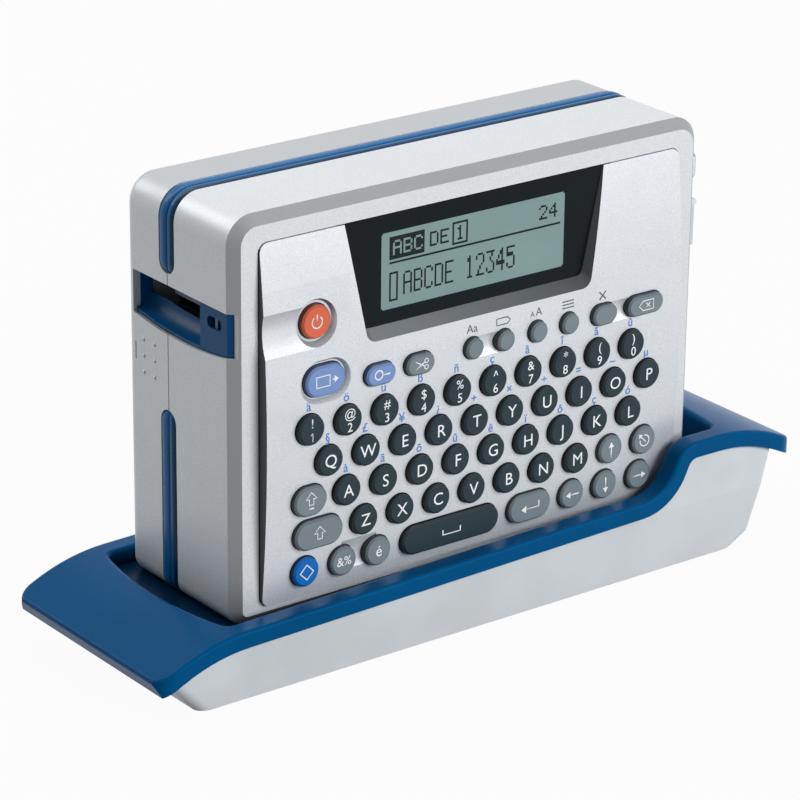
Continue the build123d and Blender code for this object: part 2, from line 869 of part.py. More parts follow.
def exit_tray():
    """Tray in the label exit: a scooped lip under the tape, open above, and a plate with a strap recess."""
    face = beam(slot_outline(tray_gap), -body_side, -inner_side) & front_envelope(tray_recess, body_depth)
    front, back = board_back + tray_gap, body_front + slot_back + tray_flange_lip / 2
    low, high = body_floor + slot_middle_bottom - tray_flange_lip, body_floor + slot_top + tray_flange_lip
    flange_end = tray_flange - inner_side
    tray = face + block(-inner_side, flange_end, front, back, low, high)
    throat = span(body_front + exit_front, body_front + exit_back,
                  body_floor + exit_bottom, body_floor + exit_top)
    chute = span(body_front + exit_front - chute_wall, body_front + exit_back + chute_wall,
                 body_floor + exit_bottom - chute_floor, body_floor + exit_top + chute_wall)
    tray += beam(chute, flange_end, flange_end + chute_length)
    tray -= beam(throat, -body_side - tray_recess, flange_end + chute_length)
    tray -= tray_scoop()
    surface = tray_recess - body_side
    y, z = body_front + strap_depth, body_floor + strap_height
    pocket = Pos(y, z) * SlotOverall(strap_recess_width, strap_recess_height)
    tray -= beam(pocket, surface, surface + strap_recess_depth)
    return tray - strap_bar()


def strap_bar():
    """Metal bar for a wrist strap, across the recess in the exit tray."""
    x = tray_recess - body_side + strap_recess_depth / 2
    half = strap_recess_height / 2 + strap_bar_end
    bar = Pos(x, body_front + strap_depth) * Circle(strap_bar_radius)
    return pillar(bar, body_floor + strap_height - half, body_floor + strap_height + half)


def release_button():
    """Push button on the right side, with a domed face and a lip inside the wall."""
    cap = beam(button_outline(0), inner_side, body_side + button_proud)
    cap = fillet(cap.faces().sort_by(Axis.X)[-1].edges(), button_height / 5)
    return cap + beam(button_outline(button_lip), inner_side - button_lip_thickness, inner_side)


def port_cover():
    """Flap over the power jack, hung on stubs at its top edge."""
    x, z = flap_axis()
    half = flap_thickness / 2
    low = body_floor + flap_bottom
    front = body_front + flap_depth
    back = front + flap_length
    section = span(x - half, x + half, low, z) + Pos(x, z) * Circle(half)
    flap = slab(section, front, back)
    reach = flap_ear + running_gap
    flap -= rod(x, z, flap_pin_radius + running_gap, front, front + reach)
    return flap - rod(x, z, flap_pin_radius + running_gap, back - reach, back)


def charge_terminals():
    """Two contact plates in the underside of the body."""
    plates = []
    for x in (-contact_spacing / 2, contact_spacing / 2):
        foot = pillar(Pos(x, contact_y) * Rectangle(terminal_size, terminal_size),
                      body_floor + terminal_recess, inner_floor)
        wide = terminal_size + 2 * terminal_gap + 2 * terminal_flange
        top = pillar(Pos(x, contact_y) * Rectangle(wide, wide), inner_floor, inner_floor + terminal_flange)
        plates.append(foot + top)
    return plates


def battery_pack():
    pack = block(battery_left, battery_right, body_front + battery_front, body_front + battery_back,
                 inner_floor, inner_floor + battery_height)
    return fillet(pack.edges().filter_by(Axis.Z), battery_round)


# Print mechanism
def gear_section(teeth, first_tooth):
    """Gear outline in X and Z; first_tooth is the angle of one tooth's middle, in degrees."""
    pitch = gear_module * teeth / 2
    root, tip = pitch - 1.2 * gear_module, pitch + 0.85 * gear_module
    quarter = pi / (2 * teeth)
    points = []
    for i in range(teeth):
        middle = radians(first_tooth) + 2 * pi * i / teeth
        for radius, share in ((root, -1.25), (tip, -0.42), (tip, 0.42), (root, 1.25)):
            angle = middle + share * quarter
            points.append((radius * cos(angle), radius * sin(angle)))
    return Polygon(*points, align=None)


def gear(x, z, teeth, first_tooth):
    front = body_front + gear_start
    return slab(Pos(x, z) * gear_section(teeth, first_tooth), front, front + gear_width)


def chassis_legs():
    left, right = chassis_left + chassis_leg_inset, chassis_right - chassis_leg_inset
    low = body_floor + chassis_bottom + chassis_leg_inset
    high = body_floor + chassis_top - chassis_leg_inset
    return [(x, z) for x in (left, right) for z in (low, high)]


def print_chassis():
    """Frame of the print mechanism: plate, legs, platen bridge, head bracket and blade guides."""
    plate = span(chassis_left, chassis_right, body_floor + chassis_bottom, body_floor + chassis_top)
    frame = slab(plate, chassis_front, chassis_back)
    for x, z in chassis_legs():
        frame += rod(x, z, chassis_leg_radius, board_back, chassis_front)
    bridge_top = platen_z - platen_radius - bridge_gap
    bridge_low = bridge_top - bridge_thickness
    bridge_back = body_front + platen_start + platen_length + 2 * platen_shaft_radius + end_plate_thickness
    left, right = platen_x - bridge_half_width, platen_x + bridge_half_width
    frame += block(left, right, chassis_back, bridge_back, bridge_low, bridge_top)
    frame += block(left, right, bridge_back - end_plate_thickness, bridge_back,
                   bridge_low, tape_z - 2 * platen_clearance)
    bore = platen_shaft_radius + running_gap
    frame -= rod(platen_x, platen_z, bore, chassis_front, bridge_back)
    head_right = platen_x + head_width / 2 + head_bracket
    head_low = tape_z + head_gap + bridge_gap
    head_back = body_front + platen_start + platen_length
    frame += block(head_right - head_bracket, head_right, chassis_back, head_back,
                   head_low, head_low + head_height)
    frame -= rod(platen_x, motor_z, motor_hole_radius, chassis_front, chassis_back)
    frame += rod(platen_x, idler_z, platen_shaft_radius, body_front + gear_start, chassis_front)
    frame += blade_guide()
    frame += blade_bracket()
    return frame


def blade_guide():
    """Grooved post that the moving blade slides in."""
    half = blade_thickness / 2 + blade_guide_gap
    top = tape_z - blade_rest_gap / 2
    low = tape_z - blade_rest_gap - blade_height - blade_guide_wall
    back = chassis_back + blade_guide_depth
    post = block(blade_x - half - blade_guide_wall, blade_x + half + blade_guide_wall,
                 chassis_back, back, low, top)
    floor = low + blade_guide_wall
    return post - block(blade_x - half, blade_x + half, back - 3 * blade_thickness, back, floor, top)


def blade_bracket():
    """Arm above the tape that the fixed blade is fastened to."""
    left = blade_x - blade_thickness / 2 - blade_shear_gap
    low = tape_z + blade_travel
    return block(left, left + blade_guide_wall + blade_thickness, chassis_back,
                 body_front + platen_start + platen_length, low, low + fixed_blade_height)


def moving_blade():
    """Lower cutter blade, with a slanted edge, that shears upwards past the fixed blade."""
    front = chassis_back + blade_guide_depth - 3 * blade_thickness + blade_guide_gap
    back = body_front + platen_start + platen_length
    top = tape_z - blade_rest_gap
    low = top - blade_height
    edge = Polygon((front, low), (back, low), (back, top), (front, top - blade_root), align=None)
    return beam(edge, blade_x - blade_thickness / 2, blade_x + blade_thickness / 2)


def fixed_blade():
    right = blade_x - blade_thickness / 2 - blade_shear_gap
    low = tape_z + blade_rest_gap / 2
    front = body_front + platen_start
    return block(right - blade_thickness, right, front, front + platen_length,
                 low, tape_z + blade_travel + fixed_blade_height)


def print_head():
    """Thermal head above the tape, on the chassis bracket."""
    left, right = platen_x - head_width / 2, platen_x + head_width / 2
    front = body_front + platen_start
    low = tape_z + head_gap
    nose = Polygon((left, low + head_width / 2), (platen_x, low), (right, low), (right, low + head_height),
                   (left, low + head_height), align=None)
    return slab(nose, front, front + platen_length)


def platen_roller():
    """Rubber-faced feed roller with its shaft and drive gear."""
    front = body_front + platen_start
    back = front + platen_length
    end = back + 2 * platen_shaft_radius + end_plate_thickness
    roller = rod(platen_x, platen_z, platen_radius, front, back)
    roller += rod(platen_x, platen_z, platen_shaft_radius, body_front + gear_start, end)
    return roller + gear(platen_x, platen_z, platen_teeth, -90)


def idler_gear():
    wheel = gear(platen_x, idler_z, idler_teeth, 90 + 180 / idler_teeth)
    front = body_front + gear_start
    return wheel - rod(platen_x, idler_z, platen_shaft_radius + running_gap, front, front + gear_width)


def motor_pinion():
    """Pinion on the motor's shaft."""
    shaft = rod(platen_x, motor_z, motor_shaft_radius, body_front + gear_start,
                chassis_back + motor_bore_depth - running_gap)
    return gear(platen_x, motor_z, pinion_teeth, 90) + shaft


def feed_motor():
    can = rod(platen_x, motor_z, motor_radius, chassis_back, chassis_back + motor_length)
    can = fillet(can.faces().sort_by(Axis.Y)[-1].edges(), motor_radius / 8)
    return can - rod(platen_x, motor_z, motor_shaft_radius + running_gap, chassis_back,
                     chassis_back + motor_bore_depth)


def reels():
    """Name, X, Z, outer radius and pin radius of what turns in the cassette."""
    top = body_floor + cassette_top
    return {
        "tape_roll": (tape_roll_x, top - tape_roll_drop, tape_roll_radius, tape_roll_pin),
        "ribbon_supply": (supply_x, top - supply_drop, supply_radius, ribbon_pin),
        "ribbon_takeup": (takeup_x, top - takeup_drop, takeup_radius, ribbon_pin),
    }


def cassette_case():
    """Cassette shell against the chassis plate, with a pin for each reel and a mouth for the tape."""
    low, high = body_floor + cassette_bottom, body_floor + cassette_top
    wall = cassette_wall
    shell = slab(span(cassette_left, cassette_right, low, high), chassis_back, cassette_back)
    shell = fillet(shell.edges().filter_by(Axis.Y), 2 * wall)
    inside = span(cassette_left + wall, cassette_right - wall, low + wall, high - wall)
    shell -= slab(inside, chassis_back, cassette_back - wall)
    shell -= block(cassette_left, cassette_left + wall,
                   chassis_back + reel_gap, cassette_back - reel_gap - wall,
                   tape_z - cassette_mouth / 2, tape_z + cassette_mouth / 2)
    for x, z, _, pin in reels().values():
        shell += rod(x, z, pin, chassis_back + reel_gap, cassette_back)
    return shell


def reel(name):
    x, z, radius, pin = reels()[name]
    back = cassette_back - cassette_wall - reel_gap
    wound = rod(x, z, radius, back - tape_width, back)
    return wound - rod(x, z, pin + running_gap, back - tape_width, back)


# Cradle
def rim_points():
    """Corner points of the cradle's top line, seen from the front, with their rounding."""
    half = cradle_length / 2
    return [
        (-half, rim_left - wing_droop, 0),
        (wing_reach - half, rim_left, wing_round),
        (half - rise_start, rim_right, rise_low_round),
        (half - rise_end, rim_high, rise_high_round),
        (half - wing_reach, rim_high, wing_round),
        (half, rim_high - wing_droop, 0),
    ]


def rim_line(drop):
    """The cradle's top line moved inwards by drop, with its roundings kept concentric."""
    points = rim_points()
    normals = []
    for (x0, z0, _), (x1, z1, _) in zip(points, points[1:]):
        length = hypot(x1 - x0, z1 - z0)
        normals.append(((z1 - z0) / length, (x0 - x1) / length))
    moved, radii = [], []
    for i, (x, z, radius) in enumerate(points):
        before, after = normals[max(i - 1, 0)], normals[min(i, len(normals) - 1)]
        share = drop / (1 + before[0] * after[0] + before[1] * after[1])
        moved.append((x + share * (before[0] + after[0]), z + share * (before[1] + after[1])))
        if 0 < i < len(points) - 1:
            rising = before[0] * after[1] - before[1] * after[0] > 0
            radii.append(radius + drop if rising else radius - drop)
    return FilletPolyline(*moved, radius=radii), moved[0], moved[-1]


def under_rim(drop):
    """Everything below the moved top line, as a prism along Y."""
    line, first, last = rim_line(drop)
    rest = Polyline(last, (last[0], -rim_band), (first[0], -rim_band), first)
    return slab(make_face(line.edges() + rest.edges()), -cradle_depth, cradle_depth)


def well_outline(grow):
    """The cradle's well seen from above, with its ends bowed outwards."""
    x, y = well_half_width + grow, well_half_depth + grow
    bow = x + well_bow
    sides = Line((-x, -y), (x, -y)).edges() + ThreePointArc((x, -y), (bow, 0), (x, y)).edges()
    sides += Line((x, y), (-x, y)).edges() + ThreePointArc((-x, y), (-bow, 0), (-x, -y)).edges()
    face = make_face(sides)
    return fillet(face.vertices(), well_corner + grow)


def boss_places():
    ends = (base_left + boss_end_gap, base_right - boss_end_gap)
    return [(x, y) for x in ends for y in (-boss_y, boss_y)]


def rim_form():
    """The cover's band: a sheet that follows the top line, with its upper edges rounded."""
    upper, first, last = rim_line(0)
    lower, low_first, low_last = rim_line(rim_band)
    ends = Line(last, low_last).edges() + Line(low_first, first).edges()
    face = make_face(upper.edges() + lower.edges() + ends)
    plan = RectangleRounded(cradle_length, cradle_depth, cradle_plan_radius)
    band = slab(face, -cradle_depth / 2, cradle_depth / 2) & pillar(plan, 0, big)
    tops = [f for f in band.faces() if f.normal_at().Z > cos(radians(rim_steepest))]
    seen = [edge for f in tops for edge in f.edges()]
    outer = [edge for edge in seen if sum(edge.is_same(other) for other in seen) == 1]
    return fillet(outer, rim_round)


def well_edges(cover):
    """The upper edges of the well."""
    inside = well_half_width + well_bow + running_gap
    return [edge for edge in cover.edges()
            if edge.bounding_box().min.Z > well_floor + running_gap
            and abs(edge.center().X) < inside and abs(edge.center().Y) < well_half_depth + running_gap
            and edge.bounding_box().size.X + edge.bounding_box().size.Y > running_gap]


def cradle_cover():
    """Blue cover: a band with drooping wings and a tub that the label maker stands in."""
    cover = rim_form()
    cover += under_rim(0) & pillar(well_outline(tub_wall), well_floor - tub_floor, big)
    cover -= pillar(well_outline(0), well_floor, big)
    cover = fillet(well_edges(cover), well_edge_round)
    hole = Rectangle(2 * (block_half_width + block_gap), 2 * (block_half_depth + block_gap))
    cover -= pillar(Pos(0, contact_y) * hole, well_floor - tub_floor, well_floor)
    for x, y in boss_places():
        cover += pillar(Pos(x, y) * Circle(boss_radius), base_floor_top, well_floor - tub_floor)
        cover -= pillar(Pos(x, y) * Circle(screw_radius), base_floor_top, base_floor_top + screw_grip)
    return cover


def base_form(inset, floor):
    """Outside of the base, or its inside when moved in by inset, before the top is cut."""
    reach, half = 2 * rim_high, cradle_length / 2
    left_tip, right_tip = rim_left - wing_droop, rim_high - wing_droop
    left_run = (half - base_left_gap + base_left) / (left_tip - base_lift)
    right_run = (half - base_right_gap - base_kick_x) / (right_tip - base_kick_height)
    points = [(base_left, base_lift), (base_right, base_lift), (base_kick_x, base_kick_height),
              (base_kick_x + right_run * reach, base_kick_height + reach),
              (base_left - left_run * reach, base_lift + reach)]
    side = Polygon(*points, align=None)
    flare = base_lift + base_flare_height
    low, high = base_half_depth_low, base_half_depth_high
    end = Polygon((-low, base_lift), (low, base_lift), (high, flare),
                  (high, reach), (-high, reach), (-high, flare), align=None)
    if inset:
        side = offset(side, -inset, kind=Kind.INTERSECTION)
        end = offset(end, -inset, kind=Kind.INTERSECTION)
    form = slab(side, -cradle_depth, cradle_depth) & beam(end, -cradle_length, cradle_length)
    return form & block(-cradle_length, cradle_length, -cradle_depth, cradle_depth, floor, rim_high)


def foot_places():
    ends = (base_left + foot_end_gap, base_right - foot_end_gap)
    return [(x, y) for x in ends for y in (-foot_y, foot_y)]


def cradle_base():
    """Grey tray under the cover, with flared walls, screw wells, foot recesses and board posts."""
    form = base_form(0, base_lift)
    corners = form.edges().filter_by(
        lambda e: abs(e.center().Y) > base_half_depth_low / 2 and abs(e.tangent_at(0.5).X) < 0.99)
    form = fillet(corners, base_corner)
    base = (form & under_rim(rim_band + rim_seat_gap)) - base_form(base_wall, base_floor_top)
    for x, y in boss_places():
        base -= pillar(Pos(x, y) * Circle(screw_radius + screw_slack), base_lift, base_floor_top)
        sunk = Circle(screw_head_radius + screw_slack)
        base -= pillar(Pos(x, y) * sunk, base_lift, base_lift + screw_head_height / 2)
    for x, y in foot_places():
        base -= pillar(Pos(x, y) * Circle(foot_radius), base_lift, foot_thickness)
    for x in (cradle_board_left + post_edge, cradle_board_right - post_edge):
        for y in (post_edge - cradle_board_half_depth, cradle_board_half_depth - post_edge):
            base += pillar(Pos(x, y) * Circle(post_radius), base_floor_top, cradle_board_height)
    inlet_y = base_half_depth_high
    mouth = Pos(inlet_x, cradle_board_top + inlet_height / 2) * Circle(inlet_opening)
    return base - slab(mouth, inlet_y - 4 * base_wall, inlet_y + base_wall)


def cradle_screws():
    screws = []
    for x, y in boss_places():
        head_top = base_lift + screw_head_height / 2
        head = pillar(Pos(x, y) * Circle(screw_head_radius), base_lift, head_top)
        screws.append(head + pillar(Pos(x, y) * Circle(screw_radius), head_top, base_floor_top + screw_grip))
    return screws


def cradle_feet():
    return [pillar(Pos(x, y) * Circle(foot_radius), 0, foot_thickness) for x, y in foot_places()]


def cradle_board():
    sketch = span(cradle_board_left, cradle_board_right, -cradle_board_half_depth, cradle_board_half_depth)
    return pillar(sketch, cradle_board_height, cradle_board_top)


def contact_block():
    """Holder of the sprung contacts, standing on the cradle's board and showing in the well's floor."""
    body = pillar(Pos(0, contact_y) * Rectangle(2 * block_half_width, 2 * block_half_depth),
                  cradle_board_top, block_top)
    pin_foot = body_floor + terminal_recess - contact_touch_gap - contact_pin_length
    low = pin_foot - contact_pin_travel - running_gap
    for x in (-contact_spacing / 2, contact_spacing / 2):
        body -= pillar(Pos(x, contact_y) * Circle(contact_pin_radius + running_gap), low, block_top)
    return body


def charge_pins():
    """Two sprung contact pins under the body's terminals."""
    top = body_floor + terminal_recess - contact_touch_gap
    pins = []
    for x in (-contact_spacing / 2, contact_spacing / 2):
        pin = pillar(Pos(x, contact_y) * Circle(contact_pin_radius), top - contact_pin_length, top)
        pins.append(chamfer(pin.faces().sort_by(Axis.Z)[-1].edges(), contact_pin_radius / 3))
    return pins


def dc_inlet():
    """Socket for the charger's lead, on the board behind the back wall."""
    high = cradle_board_top + inlet_height
    back_at_axis = base_half_depth_low + (base_half_depth_high - base_half_depth_low) * (
        (cradle_board_top + inlet_height / 2 - base_lift) / base_flare_height)
    back = back_at_axis - 2 * base_wall
    socket = block(inlet_x - inlet_width / 2, inlet_x + inlet_width / 2,
                   cradle_board_half_depth - inlet_overlap, back, cradle_board_top, high)
    axis_z = cradle_board_top + inlet_height / 2
    socket -= rod(inlet_x, axis_z, inlet_bore, back - inlet_bore_depth, back)
    return socket + rod(inlet_x, axis_z, inlet_pin, back - inlet_bore_depth, back)


# Every node of the assembly
def build_nodes():
    nodes = {
        "cradle_base": cradle_base(),
        "cradle_cover": cradle_cover(),
        "cradle_feet": cradle_feet(),
        "cradle_screws": cradle_screws(),
        "cradle_board": cradle_board(),
        "contact_block": contact_block(),
        "charge_pins": charge_pins(),
        "dc_inlet": dc_inlet(),
        "front_case": front_case(),
        "rear_case": rear_case(),
        "cassette_door": cassette_door(),
        "case_screws": case_screws(),
        "trim_strips": trim_strips(),
        "keypad_panel": keypad_panel(),
        "lcd_window": lcd_window(),
        "lcd_module": lcd_module(),
        "keypad_mat": keypad_mat(),
        "main_board": main_board(),
        "exit_tray": exit_tray(),
        "strap_bar": strap_bar(),
        "release_button": release_button(),
        "port_cover": port_cover(),
        "charge_terminals": charge_terminals(),
        "battery_pack": battery_pack(),
        "print_chassis": print_chassis(),
        "print_head": print_head(),
        "platen_roller": platen_roller(),
        "idler_gear": idler_gear(),
        "motor_pinion": motor_pinion(),
        "feed_motor": feed_motor(),
        "fixed_blade": fixed_blade(),
        "moving_blade": moving_blade(),
        "cassette_case": cassette_case(),
    }
    for name in reels():
        nodes[name] = reel(name)
    for name, places in key_layout().items():
        nodes[name] = [key_cap(*place) for place in places]
    return nodes


os.makedirs("parts", exist_ok=True)
for name, shape in build_nodes().items():
    pieces = shape if isinstance(shape, list) else [shape]
    solids = [solid for piece in pieces for solid in piece.solids()]
    node = solids[0] if len(solids) == 1 else Compound(children=solids)
    export_step(node, f"parts/{name}.step")
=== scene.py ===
# %% [markdown]
# A label maker standing in its charging cradle.
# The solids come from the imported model: every shell, key, gear and screw is already there, in metres, with
# its place in its mesh. This lesson dresses them. It sets up a camera and a small studio, gives every surface
# a finish, prints the keys and the panel, and adds what the solids leave out: the picture on the display, the
# beads of the trim strips, the crosses in the screws, and the details of cassette and battery behind the back
# door.

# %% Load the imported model
import json
import math
import bmesh
import bpy
from mathutils import Matrix, Quaternion, Vector
from mathutils.bvhtree import BVHTree


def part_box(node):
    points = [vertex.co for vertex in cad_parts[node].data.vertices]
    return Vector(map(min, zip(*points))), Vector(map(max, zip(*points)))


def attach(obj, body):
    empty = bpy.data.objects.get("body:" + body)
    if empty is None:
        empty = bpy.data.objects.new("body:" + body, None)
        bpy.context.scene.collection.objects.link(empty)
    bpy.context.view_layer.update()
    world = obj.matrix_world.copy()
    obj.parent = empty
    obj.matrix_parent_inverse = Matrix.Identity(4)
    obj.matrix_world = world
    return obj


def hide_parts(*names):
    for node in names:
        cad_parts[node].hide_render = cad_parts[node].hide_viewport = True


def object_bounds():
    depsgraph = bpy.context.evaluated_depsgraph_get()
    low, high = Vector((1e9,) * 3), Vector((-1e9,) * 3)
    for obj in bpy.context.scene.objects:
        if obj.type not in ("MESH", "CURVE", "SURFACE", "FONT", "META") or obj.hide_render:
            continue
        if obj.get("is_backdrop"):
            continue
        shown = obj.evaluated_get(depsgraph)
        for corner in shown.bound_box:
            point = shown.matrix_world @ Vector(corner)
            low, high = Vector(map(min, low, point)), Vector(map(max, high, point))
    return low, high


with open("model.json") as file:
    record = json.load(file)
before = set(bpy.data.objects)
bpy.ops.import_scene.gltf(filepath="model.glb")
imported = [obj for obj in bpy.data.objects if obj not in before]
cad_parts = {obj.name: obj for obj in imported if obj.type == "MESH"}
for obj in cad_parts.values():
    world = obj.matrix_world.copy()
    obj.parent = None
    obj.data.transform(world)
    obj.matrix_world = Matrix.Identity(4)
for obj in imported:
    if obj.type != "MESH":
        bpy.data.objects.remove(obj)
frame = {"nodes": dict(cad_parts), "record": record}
solid_low, solid_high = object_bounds()
nodes = frame["nodes"]
record = frame["record"]
scene = bpy.context.scene
MM = 0.001

# %% [markdown]
# The camera stands left of the front and a little above, as for a catalogue picture. It could be aimed with a
# tracking constraint, but that hides the numbers. Here its turn is worked out from an azimuth, an elevation
# and a small roll, and a long lens from far away keeps the upright edges nearly parallel.

# %% Camera
CAMERA_PLACE = Vector((-0.6322, -0.8238, 0.4695))
CAMERA_AZIMUTH = math.radians(-37.21)
CAMERA_ELEVATION = math.radians(21.51)
CAMERA_ROLL = math.radians(0.63)
CAMERA_LENS = 169.5
CAMERA_SENSOR = 36.0
CAMERA_NEAR = 0.05

ahead = Vector((-math.sin(CAMERA_AZIMUTH) * math.cos(CAMERA_ELEVATION),
                math.cos(CAMERA_AZIMUTH) * math.cos(CAMERA_ELEVATION),
                -math.sin(CAMERA_ELEVATION)))
camera = bpy.data.objects.new("camera", bpy.data.cameras.new("camera"))
scene.collection.objects.link(camera)
camera.rotation_mode = "QUATERNION"
camera.rotation_quaternion = ahead.to_track_quat("-Z", "Y") @ Quaternion((0, 0, 1), CAMERA_ROLL)
camera.location = CAMERA_PLACE
camera.data.lens = CAMERA_LENS
camera.data.sensor_width = CAMERA_SENSOR
camera.data.clip_start = CAMERA_NEAR
scene.camera = camera
scene.view_settings.view_transform = "Standard"
print("camera", [round(c, 3) for c in CAMERA_PLACE])

# %% [markdown]
# The studio is a table with white paper on it, in a white room. Enough light would make the room white, but
# the pale paint of the object would clip with it. So floor and sky are white only to rays that see them
# directly, from the camera, in a reflection or through glass, and they give the object little light of their
# own.

# %% Rays that see the studio directly
def math_node(tree, operation, *values):
    """A Math node on numbers and other nodes' outputs."""
    node = tree.nodes.new("ShaderNodeMath")
    node.operation = operation
    for socket, value in zip(node.inputs, values):
        if isinstance(value, (int, float)):
            socket.default_value = value
        else:
            tree.links.new(value, socket)
    return node.outputs[0]


def remap(tree, value, low, high, start=0.3, end=0.7):
    """Stretches a value between start and end to low and high; a noise is mostly between 0.3 and 0.7."""
    node = tree.nodes.new("ShaderNodeMapRange")
    node.inputs["From Min"].default_value = start
    node.inputs["From Max"].default_value = end
    node.inputs["To Min"].default_value = low
    node.inputs["To Max"].default_value = high
    tree.links.new(value, node.inputs["Value"])
    return node.outputs["Result"]


def seen_directly(tree, low, high):
    """High for rays from the camera, from gloss and through glass, low for the light that falls on things."""
    path = tree.nodes.new("ShaderNodeLightPath")
    seen = path.outputs["Is Camera Ray"]
    for name in ("Is Glossy Ray", "Is Transmission Ray"):
        seen = math_node(tree, "MAXIMUM", seen, path.outputs[name])
    return remap(tree, seen, low, high, 0.0, 1.0)


print("rays sorted for floor and sky")

# %% [markdown]
# The floor is one large flat sheet. A glow alone would lose the object's shadow, and paper alone would look
# grey, so the two are mixed: nearly all glow to the camera, with just enough paper left to take the shadow.

# %% Floor
FLOOR_HALF = 5.0
FLOOR_COLOUR = (0.42, 0.42, 0.42, 1)
FLOOR_GLOW_SHARE = 0.96
WHITE = (1, 1, 1, 1)


def floor_material():
    material = bpy.data.materials.new("studio_floor")
    material.use_nodes = True
    tree = material.node_tree
    tree.nodes.clear()
    out = tree.nodes.new("ShaderNodeOutputMaterial")
    paper = tree.nodes.new("ShaderNodeBsdfDiffuse")
    paper.inputs["Color"].default_value = FLOOR_COLOUR
    glow = tree.nodes.new("ShaderNodeEmission")
    glow.inputs["Color"].default_value = WHITE
    mix = tree.nodes.new("ShaderNodeMixShader")
    tree.links.new(seen_directly(tree, 0.0, FLOOR_GLOW_SHARE), mix.inputs[0])
    tree.links.new(paper.outputs[0], mix.inputs[1])
    tree.links.new(glow.outputs[0], mix.inputs[2])
    tree.links.new(mix.outputs[0], out.inputs["Surface"])
    return material


def studio_floor():
    corners = [(x * FLOOR_HALF, y * FLOOR_HALF, 0) for x, y in ((-1, -1), (1, -1), (1, 1), (-1, 1))]
    mesh = bpy.data.meshes.new("studio_floor")
    mesh.from_pydata(corners, [], [(0, 1, 2, 3)])
    mesh.materials.append(floor_material())
    sheet = bpy.data.objects.new("studio_floor", mesh)
    scene.collection.objects.link(sheet)
    sheet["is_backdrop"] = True


studio_floor()
print("floor of", 2 * FLOOR_HALF, "m")

# %% [markdown]
# Three soft lamps do the lighting: a large one in front on the right for the keys, one overhead, and a strip
# behind on the left that draws the bright line along the rounded top corner. Area lamps are used because
# their size sets how soft a shadow is, and a satin paint shows them as broad sheens.

# %% Sky and lamps
SKY_STRENGTH = 0.18
LAMPS = (  # name, place, target, width, height, watts
    ("front_right_lamp", (0.58, -1.50, 0.72), (0, 0, 0.08), 1.1, 0.9, 25.5),
    ("overhead_lamp", (0.05, 0.65, 1.5), (0, 0, 0.1), 1.3, 0.9, 13.0),
    ("back_left_strip", (-0.62, 1.15, 0.95), (0, 0, 0.1), 0.5, 0.9, 6.0),
)


def studio_sky():
    world = bpy.data.worlds.new("studio_sky")
    scene.world = world
    world.use_nodes = True
    tree = world.node_tree
    background = tree.nodes["Background"]
    background.inputs["Color"].default_value = WHITE
    tree.links.new(seen_directly(tree, SKY_STRENGTH, 1.0), background.inputs["Strength"])


def soft_lamp(name, place, target, width, height, power):
    data = bpy.data.lights.new(name, "AREA")
    data.shape = "RECTANGLE"
    data.size = width
    data.size_y = height
    data.energy = power
    lamp = bpy.data.objects.new(name, data)
    lamp.location = place
    lamp.rotation_mode = "QUATERNION"
    lamp.rotation_quaternion = (Vector(target) - Vector(place)).to_track_quat("-Z", "Y")
    scene.collection.objects.link(lamp)


studio_sky()
for lamp in LAMPS:
    soft_lamp(*lamp)
print("sky and", len(LAMPS), "lamps")

# %% [markdown]
# Every finish starts from a colour as the eye sees it. The shader wants linear light, so one helper turns
# screen values into linear ones. No real surface has one flat tone: a pattern makes the colour a little
# darker here and a little lighter there.

# %% Colours
def linear(red, green, blue):
    """A colour as it looks on screen, 0 to 255, turned into the shader's linear values."""
    def one(c):
        c /= 255
        return c / 12.92 if c <= 0.04045 else ((c + 0.055) / 1.055) ** 2.4

    return one(red), one(green), one(blue), 1.0


def scaled(colour, share):
    return tuple(c * share for c in colour[:3]) + (1.0,)


def mix_colour(tree, share, first, second):
    """Mixes two colours; each is a colour or another node's output."""
    node = tree.nodes.new("ShaderNodeMix")
    node.data_type = "RGBA"
    tree.links.new(share, node.inputs["Factor"])
    for socket, value in (("A", first), ("B", second)):
        target = [s for s in node.inputs if s.name == socket and s.type == "RGBA"][0]
        if isinstance(value, tuple):
            target.default_value = value
        else:
            tree.links.new(value, target)
    return [s for s in node.outputs if s.type == "RGBA"][0]


def two_tone(tree, pattern, colour, low, high):
    """The colour, times low and high where a pattern is weak and strong."""
    return mix_colour(tree, remap(tree, pattern, 0.0, 1.0), scaled(colour, low), scaled(colour, high))


print("mid grey is", round(linear(128, 128, 128)[0], 3), "in linear light")

# %% [markdown]
# Patterns read Object coordinates, so a grain keeps its size in millimetres on every piece, large or small.
# UV maps would do it too, but the solids have none. What is the same all over sits on the shader's own
# sockets, and only what varies is linked.

# %% Patterns and skins
def new_finish(name, roughness, metallic=0.0, gloss=0.5):
    material = bpy.data.materials.new(name)
    material.use_nodes = True
    tree = material.node_tree
    shader = tree.nodes["Principled BSDF"]
    shader.inputs["Roughness"].default_value = roughness
    shader.inputs["Metallic"].default_value = metallic
    shader.inputs["Specular IOR Level"].default_value = gloss
    return material, tree, shader, tree.nodes.new("ShaderNodeTexCoord")


def noise(tree, where, per_mm, detail=2.0, stretch=None):
    """Soft random pattern with so many waves to a millimetre, stretched along the axes if asked."""
    source = where.outputs["Object"]
    if stretch:
        mapping = tree.nodes.new("ShaderNodeMapping")
        mapping.inputs["Scale"].default_value = stretch
        tree.links.new(source, mapping.inputs["Vector"])
        source = mapping.outputs["Vector"]
    node = tree.nodes.new("ShaderNodeTexNoise")
    node.inputs["Scale"].default_value = per_mm / MM
    node.inputs["Detail"].default_value = detail
    tree.links.new(source, node.inputs["Vector"])
    return node.outputs["Fac"]


